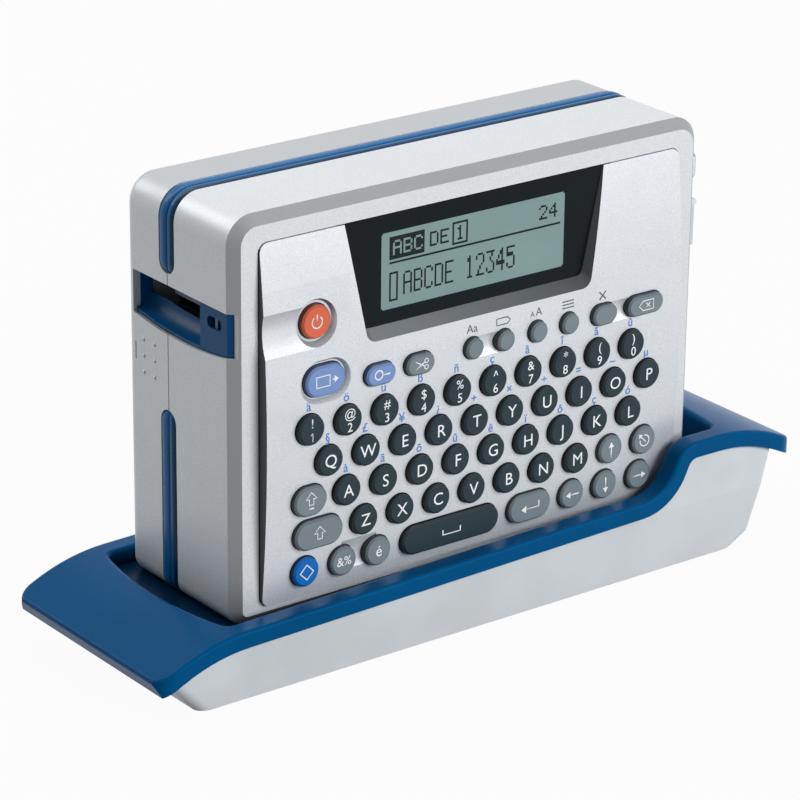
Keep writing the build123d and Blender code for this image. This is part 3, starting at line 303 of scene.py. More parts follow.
def relief(tree, shader, height, depth_mm):
    node = tree.nodes.new("ShaderNodeBump")
    node.inputs["Distance"].default_value = depth_mm * MM
    node.inputs["Strength"].default_value = 1.0
    tree.links.new(height, node.inputs["Height"])
    tree.links.new(node.outputs["Normal"], shader.inputs["Normal"])


def vary_roughness(tree, shader, pattern, roughness, spread):
    """Roughness that a pattern takes down by the first part of the spread and up by the second."""
    down, up = spread
    tree.links.new(remap(tree, pattern, roughness - down, roughness + up), shader.inputs["Roughness"])


def skin(tree, shader, pattern, roughness, spread, depth_mm):
    """One pattern that moves both the roughness and the surface itself."""
    vary_roughness(tree, shader, pattern, roughness, spread)
    relief(tree, shader, pattern, depth_mm)


print("patterns and skins ready")

# %% [markdown]
# Plain mouldings come out of a sparked mould, which leaves a fine dull grain about a fifth of a millimetre
# across, and the pigment is never quite even. A picture of real plastic could be used, but two noises do the
# same at any size. One helper makes all the plastics and rubbers.

# %% Moulded plastics and rubbers
MOULD_CLOUDS_PER_MM = 0.04
MOULD_CLOUD_DETAIL = 3.0
MOULD_TONES = (0.94, 1.05)
MOULD_GRAIN = 0.22
MOULD_SPREAD = (0.05, 0.06)
MOULD_RELIEF = 0.006
INK_RELIEF = 0.002
MOULDED = {  # colour, roughness, and what differs from a plain moulding
    "cradle_grey": ((206, 211, 215), 0.50, {"gloss": 0.3}),
    "trim_blue": ((2, 80, 130), 0.30, {"gloss": 0.12}),
    "mat_rubber": ((137, 140, 143), 0.75, {}),
    "black_rubber": ((42, 42, 44), 0.80, {"depth_mm": 0.012}),
    "grey_rubber": ((196, 199, 202), 0.60, {}),
    "black_plastic": ((40, 41, 44), 0.48, {}),
    "white_gear": ((232, 232, 226), 0.42, {}),
    "battery_wrap": ((58, 96, 74), 0.35, {"depth_mm": 0.003}),
    "cassette_grey": ((176, 178, 182), 0.48, {}),
    "white_ink": ((240, 243, 245), 0.5, {"depth_mm": INK_RELIEF}),
    "blue_ink": ((84, 130, 196), 0.5, {"depth_mm": INK_RELIEF}),
    "dark_ink": ((84, 88, 92), 0.5, {"depth_mm": INK_RELIEF}),
    "display_dot": ((22, 30, 32), 0.45, {"gloss": 0.1, "depth_mm": 0.001}),
    "sticker_paper": ((230, 232, 231), 0.45, {"depth_mm": INK_RELIEF}),
}


def moulded(name, colour, roughness, gloss=0.4, depth_mm=MOULD_RELIEF):
    material, tree, shader, where = new_finish(name, roughness, gloss=gloss)
    cloud = noise(tree, where, MOULD_CLOUDS_PER_MM, MOULD_CLOUD_DETAIL)
    tree.links.new(two_tone(tree, cloud, colour, *MOULD_TONES), shader.inputs["Base Color"])
    skin(tree, shader, noise(tree, where, 1 / MOULD_GRAIN), roughness, MOULD_SPREAD, depth_mm)
    return material


finishes = {name: moulded(name, linear(*colour), roughness, **more)
            for name, (colour, roughness, more) in MOULDED.items()}
print(len(finishes), "moulded finishes")

# %% [markdown]
# The trim strips in the seam are two round beads with a fine groove between them. Little light gets into the
# groove and the channel in front of the strip, so that shade is painted into the colour. Vertex colours
# could hold the painted shade, but a strip keeps to the plane of the seam all the way round, so Y alone says
# how far across it a point is, and a ramp of greys puts the painted shade in its place.

# %% Finish of the trim strips
STRIP_COLOUR = linear(0, 96, 154)
STRIP_ROUGHNESS = 0.28
STRIP_GLOSS = 0.16
STRIP_SPREAD = (0.04, 0.06)
STRIP_DARKEST_PAINTED_SHADE = 0.12
STRIP_PAINTED_SHADES = ((0.0, 0.10), (0.17, 0.20), (0.28, 0.9), (0.38, 0.9), (0.45, 0.4), (0.52, 1.0),
                (1.0, 1.0))


def axes(tree, where, kind):
    """X, Y and Z of a point's place (Object) or of the way its surface faces (Normal)."""
    split = tree.nodes.new("ShaderNodeSeparateXYZ")
    tree.links.new(where.outputs[kind], split.inputs[0])
    return split.outputs["X"], split.outputs["Y"], split.outputs["Z"]


def stepped(tree, value, stops):
    """A grey that follows the stops, each a place from 0 to 1 and how bright it is there."""
    node = tree.nodes.new("ShaderNodeValToRGB")
    ramp = node.color_ramp
    ramp.interpolation = "EASE"
    while len(ramp.elements) < len(stops):
        ramp.elements.new(0.5)
    for element, (place, bright) in zip(ramp.elements, stops):
        element.position = place
        element.color = (bright, bright, bright, 1)
    tree.links.new(value, node.inputs["Fac"])
    return node.outputs["Color"]


def strip_blue():
    material, tree, shader, where = new_finish("trim_strip", STRIP_ROUGHNESS, gloss=STRIP_GLOSS)
    low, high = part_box("trim_strips")
    _, y, _ = axes(tree, where, "Object")
    # A ramp of painted shade darkens the groove and the front edge of the strip.
    shade = stepped(tree, remap(tree, y, 0.0, 1.0, low.y, high.y), STRIP_PAINTED_SHADES)
    blue = mix_colour(tree, shade, scaled(STRIP_COLOUR, STRIP_DARKEST_PAINTED_SHADE), STRIP_COLOUR)
    tree.links.new(blue, shader.inputs["Base Color"])
    skin(tree, shader, noise(tree, where, 1 / MOULD_GRAIN), STRIP_ROUGHNESS, STRIP_SPREAD, MOULD_RELIEF)
    return material


finishes["trim_strip"] = strip_blue()
print("strip finish with", len(STRIP_PAINTED_SHADES), "shades")

# %% [markdown]
# The cradle's cover is the same blue all over, but the floor of its well looks dark, because little light
# gets down there. The well could have a material of its own on its faces, but they belong to the cover's one
# solid, which takes one finish. So the finish finds the well by its place under the label maker and darkens
# it towards the floor with a painted shade.

# %% Cradle cover
COVER_COLOUR = linear(0, 78, 128)
COVER_ROUGHNESS = 0.30
COVER_GLOSS = 0.09
COVER_SHEEN = (0.05, 0.40, 0.85, 1.0)
COVER_SPREAD = (0.05, 0.05)
WELL_SIDE = 4.3 * MM
WELL_END = 9.2 * MM
WELL_FADE = 4.5 * MM
WELL_PAINTED_SHADE = 0.22


def body_box():
    """Lowest and highest corners of the label maker's two shells."""
    front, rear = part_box("front_case"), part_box("rear_case")
    return (Vector(min(a, b) for a, b in zip(front[0], rear[0])),
            Vector(max(a, b) for a, b in zip(front[1], rear[1])))


def all_of(tree, share, *others):
    """1 where every test is 1."""
    for other in others:
        share = math_node(tree, "MULTIPLY", share, other)
    return share


def cover_blue():
    material, tree, shader, where = new_finish("cradle_blue", COVER_ROUGHNESS, gloss=COVER_GLOSS)
    shader.inputs["Specular Tint"].default_value = COVER_SHEEN
    low, high = body_box()
    x, y, z = axes(tree, where, "Object")
    beside = math_node(tree, "LESS_THAN", math_node(tree, "ABSOLUTE", x), high.x + WELL_END)
    behind = math_node(tree, "LESS_THAN", y, high.y + WELL_SIDE)
    before = math_node(tree, "GREATER_THAN", y, low.y - WELL_SIDE)
    deep = remap(tree, z, 1.0, 0.0, low.z, low.z + WELL_FADE)
    well = all_of(tree, beside, behind, before, deep)
    cloud = noise(tree, where, MOULD_CLOUDS_PER_MM, MOULD_CLOUD_DETAIL)
    blue = two_tone(tree, cloud, COVER_COLOUR, *MOULD_TONES)
    # The well gets a painted shade that darkens towards its floor.
    blue = mix_colour(tree, well, blue, scaled(COVER_COLOUR, WELL_PAINTED_SHADE))
    tree.links.new(blue, shader.inputs["Base Color"])
    skin(tree, shader, noise(tree, where, 1 / MOULD_GRAIN), COVER_ROUGHNESS, COVER_SPREAD, MOULD_RELIEF)
    return material


finishes["cradle_blue"] = cover_blue()
print("cover finish for a body", [round(c, 3) for c in body_box()[1] - body_box()[0]])

# %% [markdown]
# Keys are moulded right through in their colour. Their walls get a painted shade, for the shade that falls
# on them in the gap round the key, so they look darker than the faces. A painted mask could tell walls and
# faces apart. The way the surface faces does it without one, with a soft change over the rounded edge.

# %% Keys
WALL_FACING = (-0.92, -0.35)
KEY_WALL_PAINTED_SHADE = 0.20
KEY_CLOUDS_PER_MM = 0.12
KEY_TONES = (0.95, 1.05)
KEY_GRAIN = 0.15
KEYS = {  # colour, roughness, gloss
    "key_slate": ((31, 48, 56), 0.46, 0.24),
    "key_grey": ((119, 131, 138), 0.44, 0.22),
    "code_blue": ((0, 106, 186), 0.42, 0.2),
    "print_lavender": ((119, 147, 199), 0.42, 0.25),
    "power_orange": ((218, 104, 72), 0.38, 0.3),
}


def key_finish(name, colour, roughness, gloss):
    material, tree, shader, where = new_finish(name, roughness, gloss=gloss)
    _, facing, _ = axes(tree, where, "Normal")
    wall = remap(tree, facing, 0.0, 1.0, *WALL_FACING)
    cloud = noise(tree, where, KEY_CLOUDS_PER_MM, MOULD_CLOUD_DETAIL)
    face = two_tone(tree, cloud, colour, *KEY_TONES)
    # The walls get a painted shade.
    tree.links.new(mix_colour(tree, wall, face, scaled(colour, KEY_WALL_PAINTED_SHADE)), shader.inputs["Base Color"])
    skin(tree, shader, noise(tree, where, 1 / KEY_GRAIN), roughness, MOULD_SPREAD, MOULD_RELIEF)
    return material


for name, (colour, roughness, gloss) in KEYS.items():
    finishes[name] = key_finish(name, linear(*colour), roughness, gloss)
print(len(KEYS), "key finishes")

# %% [markdown]
# Silver paint is fine metal flakes in a clear binder. Under soft light it is pale and satin, with a broad
# sheen. A fully metallic shader would be a mirror of the room, so only a share of it is metal. Two noises
# make the rest: a fine one for the flakes, and a coarse one for the faint cloudiness of sprayed paint.
# The narrow chamfer round the face gets a painted shade, for the dark surroundings it reflects, and it is
# found by the way it faces. The rear shell's top gets a painted shade too, so it is darker.

# %% Silver paints
FLAKE_TONES = (0.90, 1.10)
FLAKE_RELIEF = 0.008
SPRAY_CLOUDS_PER_MM = 0.06
SPRAY_SPREAD = (0.04, 0.04)
CASE_COLOUR = linear(212, 216, 219)
CASE_PAINT = {"roughness": 0.40, "metallic": 0.20, "flake_mm": 0.30}
CHAMFER_FACING = (-0.92, -0.45)
CHAMFER_SHARE = 0.75
CHAMFER_PAINTED_SHADE = 0.3
TOP_FACING = (0.3, 1.0)
REAR_TOP_PAINTED_SHADE = 0.70


def silver_paint(name, colour, roughness, metallic, flake_mm):
    material, tree, shader, where = new_finish(name, roughness, metallic)
    flakes = noise(tree, where, 1 / flake_mm, 1.0)
    paint = two_tone(tree, flakes, colour, *FLAKE_TONES)
    vary_roughness(tree, shader, noise(tree, where, SPRAY_CLOUDS_PER_MM), roughness, SPRAY_SPREAD)
    relief(tree, shader, flakes, FLAKE_RELIEF)
    return material, tree, shader, where, paint


def facing_between(tree, where, low, high):
    """1 where the way the surface faces has a Y part between low and high; -1 is straight to the front."""
    _, facing, _ = axes(tree, where, "Normal")
    above = math_node(tree, "GREATER_THAN", facing, low)
    return all_of(tree, above, math_node(tree, "LESS_THAN", facing, high))


def case_paint(name, top_painted_shade=1.0):
    material, tree, shader, where, paint = silver_paint(name, CASE_COLOUR, **CASE_PAINT)
    # The chamfer gets a painted shade.
    chamfer = math_node(tree, "MULTIPLY", facing_between(tree, where, *CHAMFER_FACING), CHAMFER_SHARE)
    paint = mix_colour(tree, chamfer, paint, scaled(CASE_COLOUR, CHAMFER_PAINTED_SHADE))
    if top_painted_shade < 1:
        # The top gets a painted shade.
        _, _, up = axes(tree, where, "Normal")
        top = remap(tree, up, 0.0, 1.0, *TOP_FACING)
        paint = mix_colour(tree, top, paint, scaled(CASE_COLOUR, top_painted_shade))
    tree.links.new(paint, shader.inputs["Base Color"])
    return material


finishes["silver_case"] = case_paint("silver_case")
finishes["silver_rear"] = case_paint("silver_rear", REAR_TOP_PAINTED_SHADE)
print("case paints ready")

# %% [markdown]
# The panel's silver is a shade darker than the case's and has more metal in it. Three places on it differ:
# the slopes down to the display are dark grey, with a painted shade that grows towards the right; the finger
# dish beside the power key gets a painted shade under its roof and on its floor; and the outer wall gets a
# painted shade. They all belong to one solid, which takes one finish, so they can't have materials of their
# own. The paint finds each by its place and by the way it faces. The display's reach grows upwards, as the
# window does.

# %% Finger dish of the panel
DISH_REACH = 6 * MM
DISH_ROOF_SHADE, DISH_ROOF_FACING = 0.36, (-0.5, 0.0)
DISH_FLOOR_SHADE, DISH_FLOOR_FACING = 0.62, (0.05, 0.4)
BLACK = (0.0, 0.0, 0.0, 1.0)


def shaded_dish(tree, where, x, z, paint):
    """The paint, with a painted shade under the dish's roof and on its floor."""
    low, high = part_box("power_key")
    left = math_node(tree, "LESS_THAN", x, high.x + DISH_REACH)
    under = math_node(tree, "LESS_THAN", z, high.z + DISH_REACH)
    over = math_node(tree, "GREATER_THAN", z, low.z - DISH_REACH)
    _, _, up = axes(tree, where, "Normal")
    roof = remap(tree, up, 1 - DISH_ROOF_SHADE, 0.0, *DISH_ROOF_FACING)
    floor = remap(tree, up, 0.0, 1 - DISH_FLOOR_SHADE, *DISH_FLOOR_FACING)
    share = all_of(tree, left, under, over, math_node(tree, "ADD", roof, floor))
    # Painted shade under the dish's roof and on its floor.
    return mix_colour(tree, share, paint, BLACK)


print("dish reaches", round(DISH_REACH / MM, 1), "mm past the power key")

# %% Slopes and outer wall of the panel
DISPLAY_REACH = 3.2 * MM
DISPLAY_WIDENING = 0.2
DISPLAY_DROP = 5 * MM
SLOPE_FACING = (-0.9, 1.1)
SLOPE_LEFT, SLOPE_RIGHT = linear(118, 124, 128), linear(64, 70, 74)
WALL_DEPTH = 0.4 * MM
PANEL_WALL_FACING = (-0.6, 1.1)
PANEL_WALL_PAINTED_SHADE = linear(62, 70, 74)


def dark_slopes(tree, where, x, z, paint):
    """The paint, grey on the slopes down to the display, with a painted shade towards the right."""
    low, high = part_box("lcd_window")
    reach_at_floor = high.x + DISPLAY_REACH - DISPLAY_WIDENING * high.z
    reach = math_node(tree, "MULTIPLY_ADD", z, DISPLAY_WIDENING, reach_at_floor)
    near = math_node(tree, "LESS_THAN", math_node(tree, "ABSOLUTE", x), reach)
    above = math_node(tree, "GREATER_THAN", z, low.z - DISPLAY_DROP)
    slope = all_of(tree, near, above, facing_between(tree, where, *SLOPE_FACING))
    # The grey gets a painted shade towards the right.
    grey = mix_colour(tree, remap(tree, x, 0.0, 1.0, low.x, high.x), SLOPE_LEFT, SLOPE_RIGHT)
    return mix_colour(tree, slope, paint, grey)


def dark_wall(tree, where, x, paint):
    """The paint, with a painted shade on the panel's left and right walls."""
    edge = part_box("keypad_panel")[1].x - WALL_DEPTH
    outside = math_node(tree, "GREATER_THAN", math_node(tree, "ABSOLUTE", x), edge)
    # The walls get a painted shade.
    wall = all_of(tree, outside, facing_between(tree, where, *PANEL_WALL_FACING))
    return mix_colour(tree, wall, paint, PANEL_WALL_PAINTED_SHADE)


print("slopes reach", round(DISPLAY_REACH / MM, 1), "mm past the display")

# %% Panel paint
PANEL_COLOUR = linear(206, 210, 215)
PANEL_PAINT = {"roughness": 0.42, "metallic": 0.40, "flake_mm": 0.34}


def panel_paint():
    material, tree, shader, where, paint = silver_paint("panel_silver", PANEL_COLOUR, **PANEL_PAINT)
    x, _, z = axes(tree, where, "Object")
    paint = shaded_dish(tree, where, x, z, paint)
    paint = dark_slopes(tree, where, x, z, paint)
    paint = dark_wall(tree, where, x, paint)
    tree.links.new(paint, shader.inputs["Base Color"])
    return material


finishes["panel_silver"] = panel_paint()
print("panel paint ready")

# %% [markdown]
# The metal pieces are steel and aluminium with a faint brushed line, gold-plated contacts, cut brass, and the
# dark steel of the blades and the strap bar. Anisotropy could draw the brushing, but the export drops it when
# it varies. Here a noise stretched along one axis leaves the same lines in colour, gloss and relief.

# %% Metals
METAL_LINES_PER_MM = 1.2
METAL_TONES = (0.88, 1.0)
METAL_SPREAD = (0.06, 0.08)
METAL_RELIEF = 0.004
METALS = {  # colour, roughness, stretch of the brushed lines
    "steel": ((198, 200, 203), 0.30, (1, 1, 8)),
    "aluminium": ((222, 223, 225), 0.38, (8, 1, 1)),
    "contact_metal": ((228, 200, 130), 0.25, None),
    "strap_steel": ((78, 88, 100), 0.42, None),
    "brass_gear": ((214, 184, 120), 0.32, None),
}


def metal(name, colour, roughness, stretch):
    material, tree, shader, where = new_finish(name, roughness, 1.0)
    lines = noise(tree, where, METAL_LINES_PER_MM, stretch=stretch)
    tree.links.new(two_tone(tree, lines, colour, *METAL_TONES), shader.inputs["Base Color"])
    skin(tree, shader, lines, roughness, METAL_SPREAD, METAL_RELIEF)
    return material


for name, (colour, roughness, stretch) in METALS.items():
    finishes[name] = metal(name, linear(*colour), roughness, stretch)
print(len(METALS), "metals")

# %% [markdown]
# The circuit board is green lacquer over glass cloth, whose weave shows through as fine waves. Wound tape and
# ribbon show their layers as thin rings. A wave pattern could draw each ring, but they are finer than the eye
# can follow, so a fine noise is enough.

# %% Board and wound tape
BOARD_DARK, BOARD_PALE = linear(20, 92, 52), linear(28, 108, 64)
BOARD_ROUGHNESS = 0.38
WEAVES_PER_MM = 1.0
WEAVE_DISTORTION = 1.5
WEAVE_RELIEF = 0.01
WOUND = {"tape_white": (238, 238, 232), "ribbon_black": (44, 44, 46)}
WOUND_ROUGHNESS = 0.5
LAYERS_PER_MM = 6.0
LAYER_TONES = (0.82, 1.0)
LAYER_RELIEF = 0.02


def board_finish():
    material, tree, shader, where = new_finish("board", BOARD_ROUGHNESS)
    weave = tree.nodes.new("ShaderNodeTexWave")
    weave.inputs["Scale"].default_value = WEAVES_PER_MM / MM
    weave.inputs["Distortion"].default_value = WEAVE_DISTORTION
    tree.links.new(where.outputs["Object"], weave.inputs["Vector"])
    green = mix_colour(tree, weave.outputs["Fac"], BOARD_DARK, BOARD_PALE)
    tree.links.new(green, shader.inputs["Base Color"])
    relief(tree, shader, weave.outputs["Fac"], WEAVE_RELIEF)
    return material


def wound(name, colour):
    material, tree, shader, where = new_finish(name, WOUND_ROUGHNESS)
    layers = noise(tree, where, LAYERS_PER_MM)
    tree.links.new(two_tone(tree, layers, colour, *LAYER_TONES), shader.inputs["Base Color"])
    relief(tree, shader, layers, LAYER_RELIEF)
    return material


finishes["board"] = board_finish()
for name, colour in WOUND.items():
    finishes[name] = wound(name, linear(*colour))
print("board and", len(WOUND), "wound tapes")

# %% [markdown]
# The display has a dark window, glossy but a little hazy from handling, and a grey-green liquid crystal
# behind it. The window could be clear glass over the crystal, but it is nearly black round the picture, so an
# opaque plate with a weak gloss looks the same and renders without noise.

# %% Display window
WINDOWS = {  # colour, roughness, gloss
    "display_black": ((7, 17, 21), 0.26, 0.12),
    "lcd_green": ((125, 151, 150), 0.34, 0.2),
}
HAZE_PER_MM = 0.05
HAZE_TONES = (0.95, 1.05)
HAZE_SPREAD = (0.02, 0.03)


def window_finish(name, colour, roughness, gloss):
    material, tree, shader, where = new_finish(name, roughness, gloss=gloss)
    haze = noise(tree, where, HAZE_PER_MM)
    tree.links.new(two_tone(tree, haze, colour, *HAZE_TONES), shader.inputs["Base Color"])
    vary_roughness(tree, shader, haze, roughness, HAZE_SPREAD)
    return material


for name, (colour, roughness, gloss) in WINDOWS.items():
    finishes[name] = window_finish(name, linear(*colour), roughness, gloss)
print(len(finishes), "finishes in all")

# %% [markdown]
# Now every solid gets its finish. The record names a material slot for each, and the finishes have the same
# names, so a loop is enough. A few solids look different from the others of their slot, and a short list
# gives them their own.

# %% Give every solid its finish
OWN_FINISH = {"strap_bar": "strap_steel", "fixed_blade": "strap_steel", "moving_blade": "strap_steel",
              "trim_strips": "trim_strip", "rear_case": "silver_rear"}
slots = {entry["node"]: entry["material_slot"] for entry in record["subparts"]}
for node, slot in slots.items():
    mesh = nodes[node].data
    mesh.materials.clear()
    mesh.materials.append(finishes[OWN_FINISH.get(node, slot)])
print("dressed", len(slots), "solids")

# %% [markdown]
# Printing is a thin layer of ink. It could be painted into the key's material, but the export has to keep it
# sharp, so it is real: letters and lines become thin solids that lie on the key's own face. A ray shot at the
# solid from the front finds the height of the face under every point.

# %% Height of a face
RAY_START = 0.1
trees = {}


def face_y(node, x, z):
    """Y of the solid's surface that shows from the front at X and Z."""
    if node not in trees:
        mesh = nodes[node].data
        points = [v.co for v in mesh.vertices]
        trees[node] = BVHTree.FromPolygons(points, [p.vertices for p in mesh.polygons])
    hit, _, _, _ = trees[node].ray_cast(Vector((x, solid_low.y - RAY_START, z)), Vector((0, 1, 0)))
    return hit.y if hit else None


def middle(node):
    """X and Z of the middle of a solid's box, and Y of its back."""
    low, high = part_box(node)
    return (low.x + high.x) / 2, high.y, (low.z + high.z) / 2


x, _, z = middle("print_key")
print("the print key's face is at Y", round(face_y("print_key", x, z) / MM, 1), "mm")

# %% Pieces from meshes
MERGE_DISTANCE = 0.001 * MM


def joined_mesh(name, meshes):
    """One mesh from finished ones, which are used up."""
    joined = bmesh.new()
    for mesh in meshes:
        joined.from_mesh(mesh)
        bpy.data.meshes.remove(mesh)
    bmesh.ops.remove_doubles(joined, verts=joined.verts, dist=MERGE_DISTANCE)
    result = bpy.data.meshes.new(name)
    joined.to_mesh(result)
    joined.free()
    return result


def joined_piece(name, body, finish, meshes):
    """One piece from finished meshes, riding on a body."""
    result = joined_mesh(name, meshes)
    result.materials.clear()
    result.materials.append(finish)
    piece = bpy.data.objects.new(name, result)
    scene.collection.objects.link(piece)
    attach(piece, body)
    return piece


print("points nearer than", round(MERGE_DISTANCE / MM, 3), "mm are merged")

# %% Ink on a face
INK_THICKNESS = 0.04 * MM
INK_LIFT = 0.015 * MM
FRONTWARDS = Matrix(((1, 0, 0, 0), (0, 0, -1, 0), (0, 1, 0, 0), (0, 0, 0, 1)))


def printing(name, body, ink, marks):
    """One piece of ink from (meshes, node, X, Z) marks, each laid on its node's face."""
    laid = []
    for meshes, node, x, z in marks:
        for mesh in meshes:
            mesh.transform(Matrix.Translation((x, 0, z)) @ FRONTWARDS)
            for vertex in mesh.vertices:
                ground = face_y(node, vertex.co.x, vertex.co.z)
                vertex.co.y += (face_y(node, x, z) if ground is None else ground) - INK_LIFT
            laid.append(mesh)
    joined_piece(name, body, finishes[ink], laid)


print("ink is", round(INK_THICKNESS / MM, 3), "mm thick")

# %% [markdown]
# Letters come from Blender's own font, which is plain enough for keys. Lines and signs are curves: a stroke
# is a tube that is pressed flat, and a patch is a filled outline. Both are drawn in millimetres about the
# middle of their key and then made a mesh.

# %% Letters
CAP_SHARE = 0.729
LETTER_STEPS = 4


def curve_mesh(data):
    """The mesh that a curve or text makes."""
    holder = bpy.data.objects.new(data.name, data)
    scene.collection.objects.link(holder)
    bpy.context.view_layer.update()
    made = holder.evaluated_get(bpy.context.evaluated_depsgraph_get())
    mesh = bpy.data.meshes.new_from_object(made)
    bpy.data.objects.remove(holder)
    return mesh


def lettering(text, tall_mm, bold_mm=0.0):
    data = bpy.data.curves.new("letter", "FONT")
    data.body = text
    data.size = tall_mm * MM / CAP_SHARE
    data.align_x = "CENTER"
    data.align_y = "CENTER"
    data.extrude = INK_THICKNESS / 2
    data.offset = bold_mm * MM
    data.resolution_u = LETTER_STEPS
    return [curve_mesh(data)]


print("a capital is", CAP_SHARE, "of the font's size")

# %% Strokes and patches
def drawn(name, lines, closed, dimensions="3D"):
    """A curve of straight runs through points in millimetres; a third value is the radius there."""
    data = bpy.data.curves.new(name, "CURVE")
    data.dimensions = dimensions
    for points in lines:
        spline = data.splines.new("POLY")
        spline.points.add(len(points) - 1)
        spline.use_cyclic_u = closed
        for point, (x, y, *radius) in zip(spline.points, points):
            point.co = (x * MM, y * MM, 0, 1)
            point.radius = radius[0] if radius else 1.0
    return data


def stroke(points, width_mm, closed=False):
    data = drawn("stroke", [points], closed)
    data.bevel_depth = width_mm * MM / 2
    data.bevel_resolution = 1
    data.use_fill_caps = True
    mesh = curve_mesh(data)
    mesh.transform(Matrix.Diagonal((1, 1, INK_THICKNESS / (width_mm * MM), 1)))
    return mesh


def patch(*outlines, thickness=INK_THICKNESS):
    """A filled flat shape; outlines inside the first one are holes."""
    data = drawn("patch", outlines, True, "2D")
    data.fill_mode = "BOTH"
    data.extrude = thickness / 2
    return curve_mesh(data)


print("strokes are pressed to", round(INK_THICKNESS / MM, 3), "mm")

# %% [markdown]
# Each key's middle has to be known before it is printed. All digits share one solid and all letters another,
# as one rubber mat carries them, so a row's first and last key come from the solid's box and the rest lie
# evenly between them. A search for the separate shells in the mesh would find them too, but it would not know
# their letters.

# %% Places of the digit and letter keys
LETTER_ROWS = ("QWERTYUIOP", "ASDFGHJKL", "ZXCVBNM")
DIGITS = "1234567890"


def digit_centres():
    low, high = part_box("digit_keys")
    half = (high.z - low.z) / 2
    pitch = (high.x - low.x - 2 * half) / (len(DIGITS) - 1)
    return [(low.x + half + i * pitch, low.z + half) for i in range(len(DIGITS))], pitch, half


def letter_centres():
    low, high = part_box("letter_keys")
    rise = (high.z - low.z - 2 * key_half) / (len(LETTER_ROWS) - 1)
    places = []
    for row, letters in enumerate(LETTER_ROWS):
        start = digit_places[0][0] + (row + 1) * key_pitch / 2
        z = high.z - key_half - row * rise
        places.append([(letter, start + i * key_pitch, z) for i, letter in enumerate(letters)])
    return places


digit_places, key_pitch, key_half = digit_centres()
letter_places = letter_centres()
print("keys", round(key_pitch / MM, 2), "mm apart")

# %% [markdown]
# The letters and digits are the ones that every keyboard has, in white ink. A digit key carries its digit
# below and a sign above. They could be drawn in strokes, but a font has better shapes. Only its figure one is
# too bare, so that one is drawn.

# %% Letters and digits
DIGIT_SIGNS = "!@#$%^&*()"
LETTER_TALL = 3.9
DIGIT_TALL = 2.9
DIGIT_DROP = 2.05 * MM
FINE_LINE = 0.42


def figure_one(tall):
    """The font's one is a bare stroke, so this one is drawn with its flag."""
    half = tall / 2
    return [stroke([(-0.62, half - 0.75), (0.1, half - 0.2), (0.1, 0.2 - half)], FINE_LINE)]


marks = [(lettering(letter, LETTER_TALL), "letter_keys", x, z)
         for row in letter_places for letter, x, z in row]
print(len(marks), "letters")
printing("letter_print", "letter_keys_body", "white_ink", marks)
marks = []
for digit, sign, (x, z) in zip(DIGITS, DIGIT_SIGNS, digit_places):
    figure = figure_one(DIGIT_TALL) if digit == "1" else lettering(digit, DIGIT_TALL)
    marks.append((figure, "digit_keys", x, z - DIGIT_DROP))
    marks.append((lettering(sign, DIGIT_TALL), "digit_keys", x, z + DIGIT_DROP))
printing("digit_print", "digit_keys_body", "white_ink", marks)
print(len(marks), "digits and signs")

# %% [markdown]
# The other keys carry plain pictures that any keyboard has: arrows, a looking glass, scissors, a power ring.
# A symbol font would be quicker, but it may be missing elsewhere. So each sign is a few strokes and patches.

# %% Signs of lines and rings
LINE = 0.5
BLADE_LINE = 0.4
RING_LINE = 0.35
BOTH_WAYS = (-1, 1)


def ring(radius, start=0, end=360, steps=20, centre=(0, 0)):
    turns = [math.radians(start + (end - start) * i / steps) for i in range(steps + 1)]
    return [(centre[0] + radius * math.cos(turn), centre[1] + radius * math.sin(turn)) for turn in turns]


def arrow(angle, length=5.0):
    turn = Matrix.Rotation(math.radians(angle), 2)
    half = length / 2

    def at(points):
        return [tuple(turn @ Vector(p)) for p in points]

    shaft = stroke(at([(-half, 0), (half - 1.4, 0)]), LINE)
    return [shaft, patch(at([(half - 1.7, -1.0), (half, 0), (half - 1.7, 1.0)]))]


def power_sign():
    return [stroke(ring(1.75, 125, 415), FINE_LINE), stroke([(0, 0.4), (0, 2.4)], FINE_LINE)]


def print_sign():
    tag = stroke([(-3.4, -1.6), (1.2, -1.6), (1.2, 1.6), (-3.4, 1.6)], LINE, True)
    return [tag, stroke([(2.0, 0), (3.0, 0)], LINE), patch([(2.8, -1.1), (4.2, 0), (2.8, 1.1)])]


def looking_glass():
    return [stroke(ring(1.35, centre=(-1.1, 0.2)), LINE), stroke([(0.3, 0.0), (2.9, 0.0)], LINE)]


def scissors():
    rings = [stroke(ring(0.65, steps=12, centre=(1.7, s * 0.95)), RING_LINE) for s in BOTH_WAYS]
    return rings + [stroke([(-2.2, s * 1.25), (1.15, -s * 0.65)], BLADE_LINE) for s in BOTH_WAYS]


print("lines of", LINE, "and", FINE_LINE, "mm")

# %% Signs of outlines
THIN_LINE = 0.38


def shift_sign(bar):
    lift = 0.6 if bar else 0.0
    outline = [(-0.8, -1.6), (0.8, -1.6), (0.8, 0.2), (1.9, 0.2), (0, 2.2), (-1.9, 0.2), (-0.8, 0.2)]
    sign = [stroke([(x, z + lift) for x, z in outline], FINE_LINE, True)]
    return sign + ([stroke([(-0.9, -2.1), (0.9, -2.1)], LINE)] if bar else [])


def erase_sign():
    box = [(-2.9, 0), (-1.4, 1.5), (2.6, 1.5), (2.6, -1.5), (-1.4, -1.5)]
    cross = [stroke([(-0.2, s * 0.75), (1.3, -s * 0.75)], THIN_LINE) for s in BOTH_WAYS]
    return [stroke(box, THIN_LINE, True)] + cross


def escape_sign():
    lines = [stroke(ring(1.75, 170, 460), FINE_LINE), stroke([(0.6, -0.6), (-1.6, 1.6)], FINE_LINE)]
    return lines + [patch([(-2.3, 2.3), (-0.8, 2.0), (-2.0, 0.8)])]


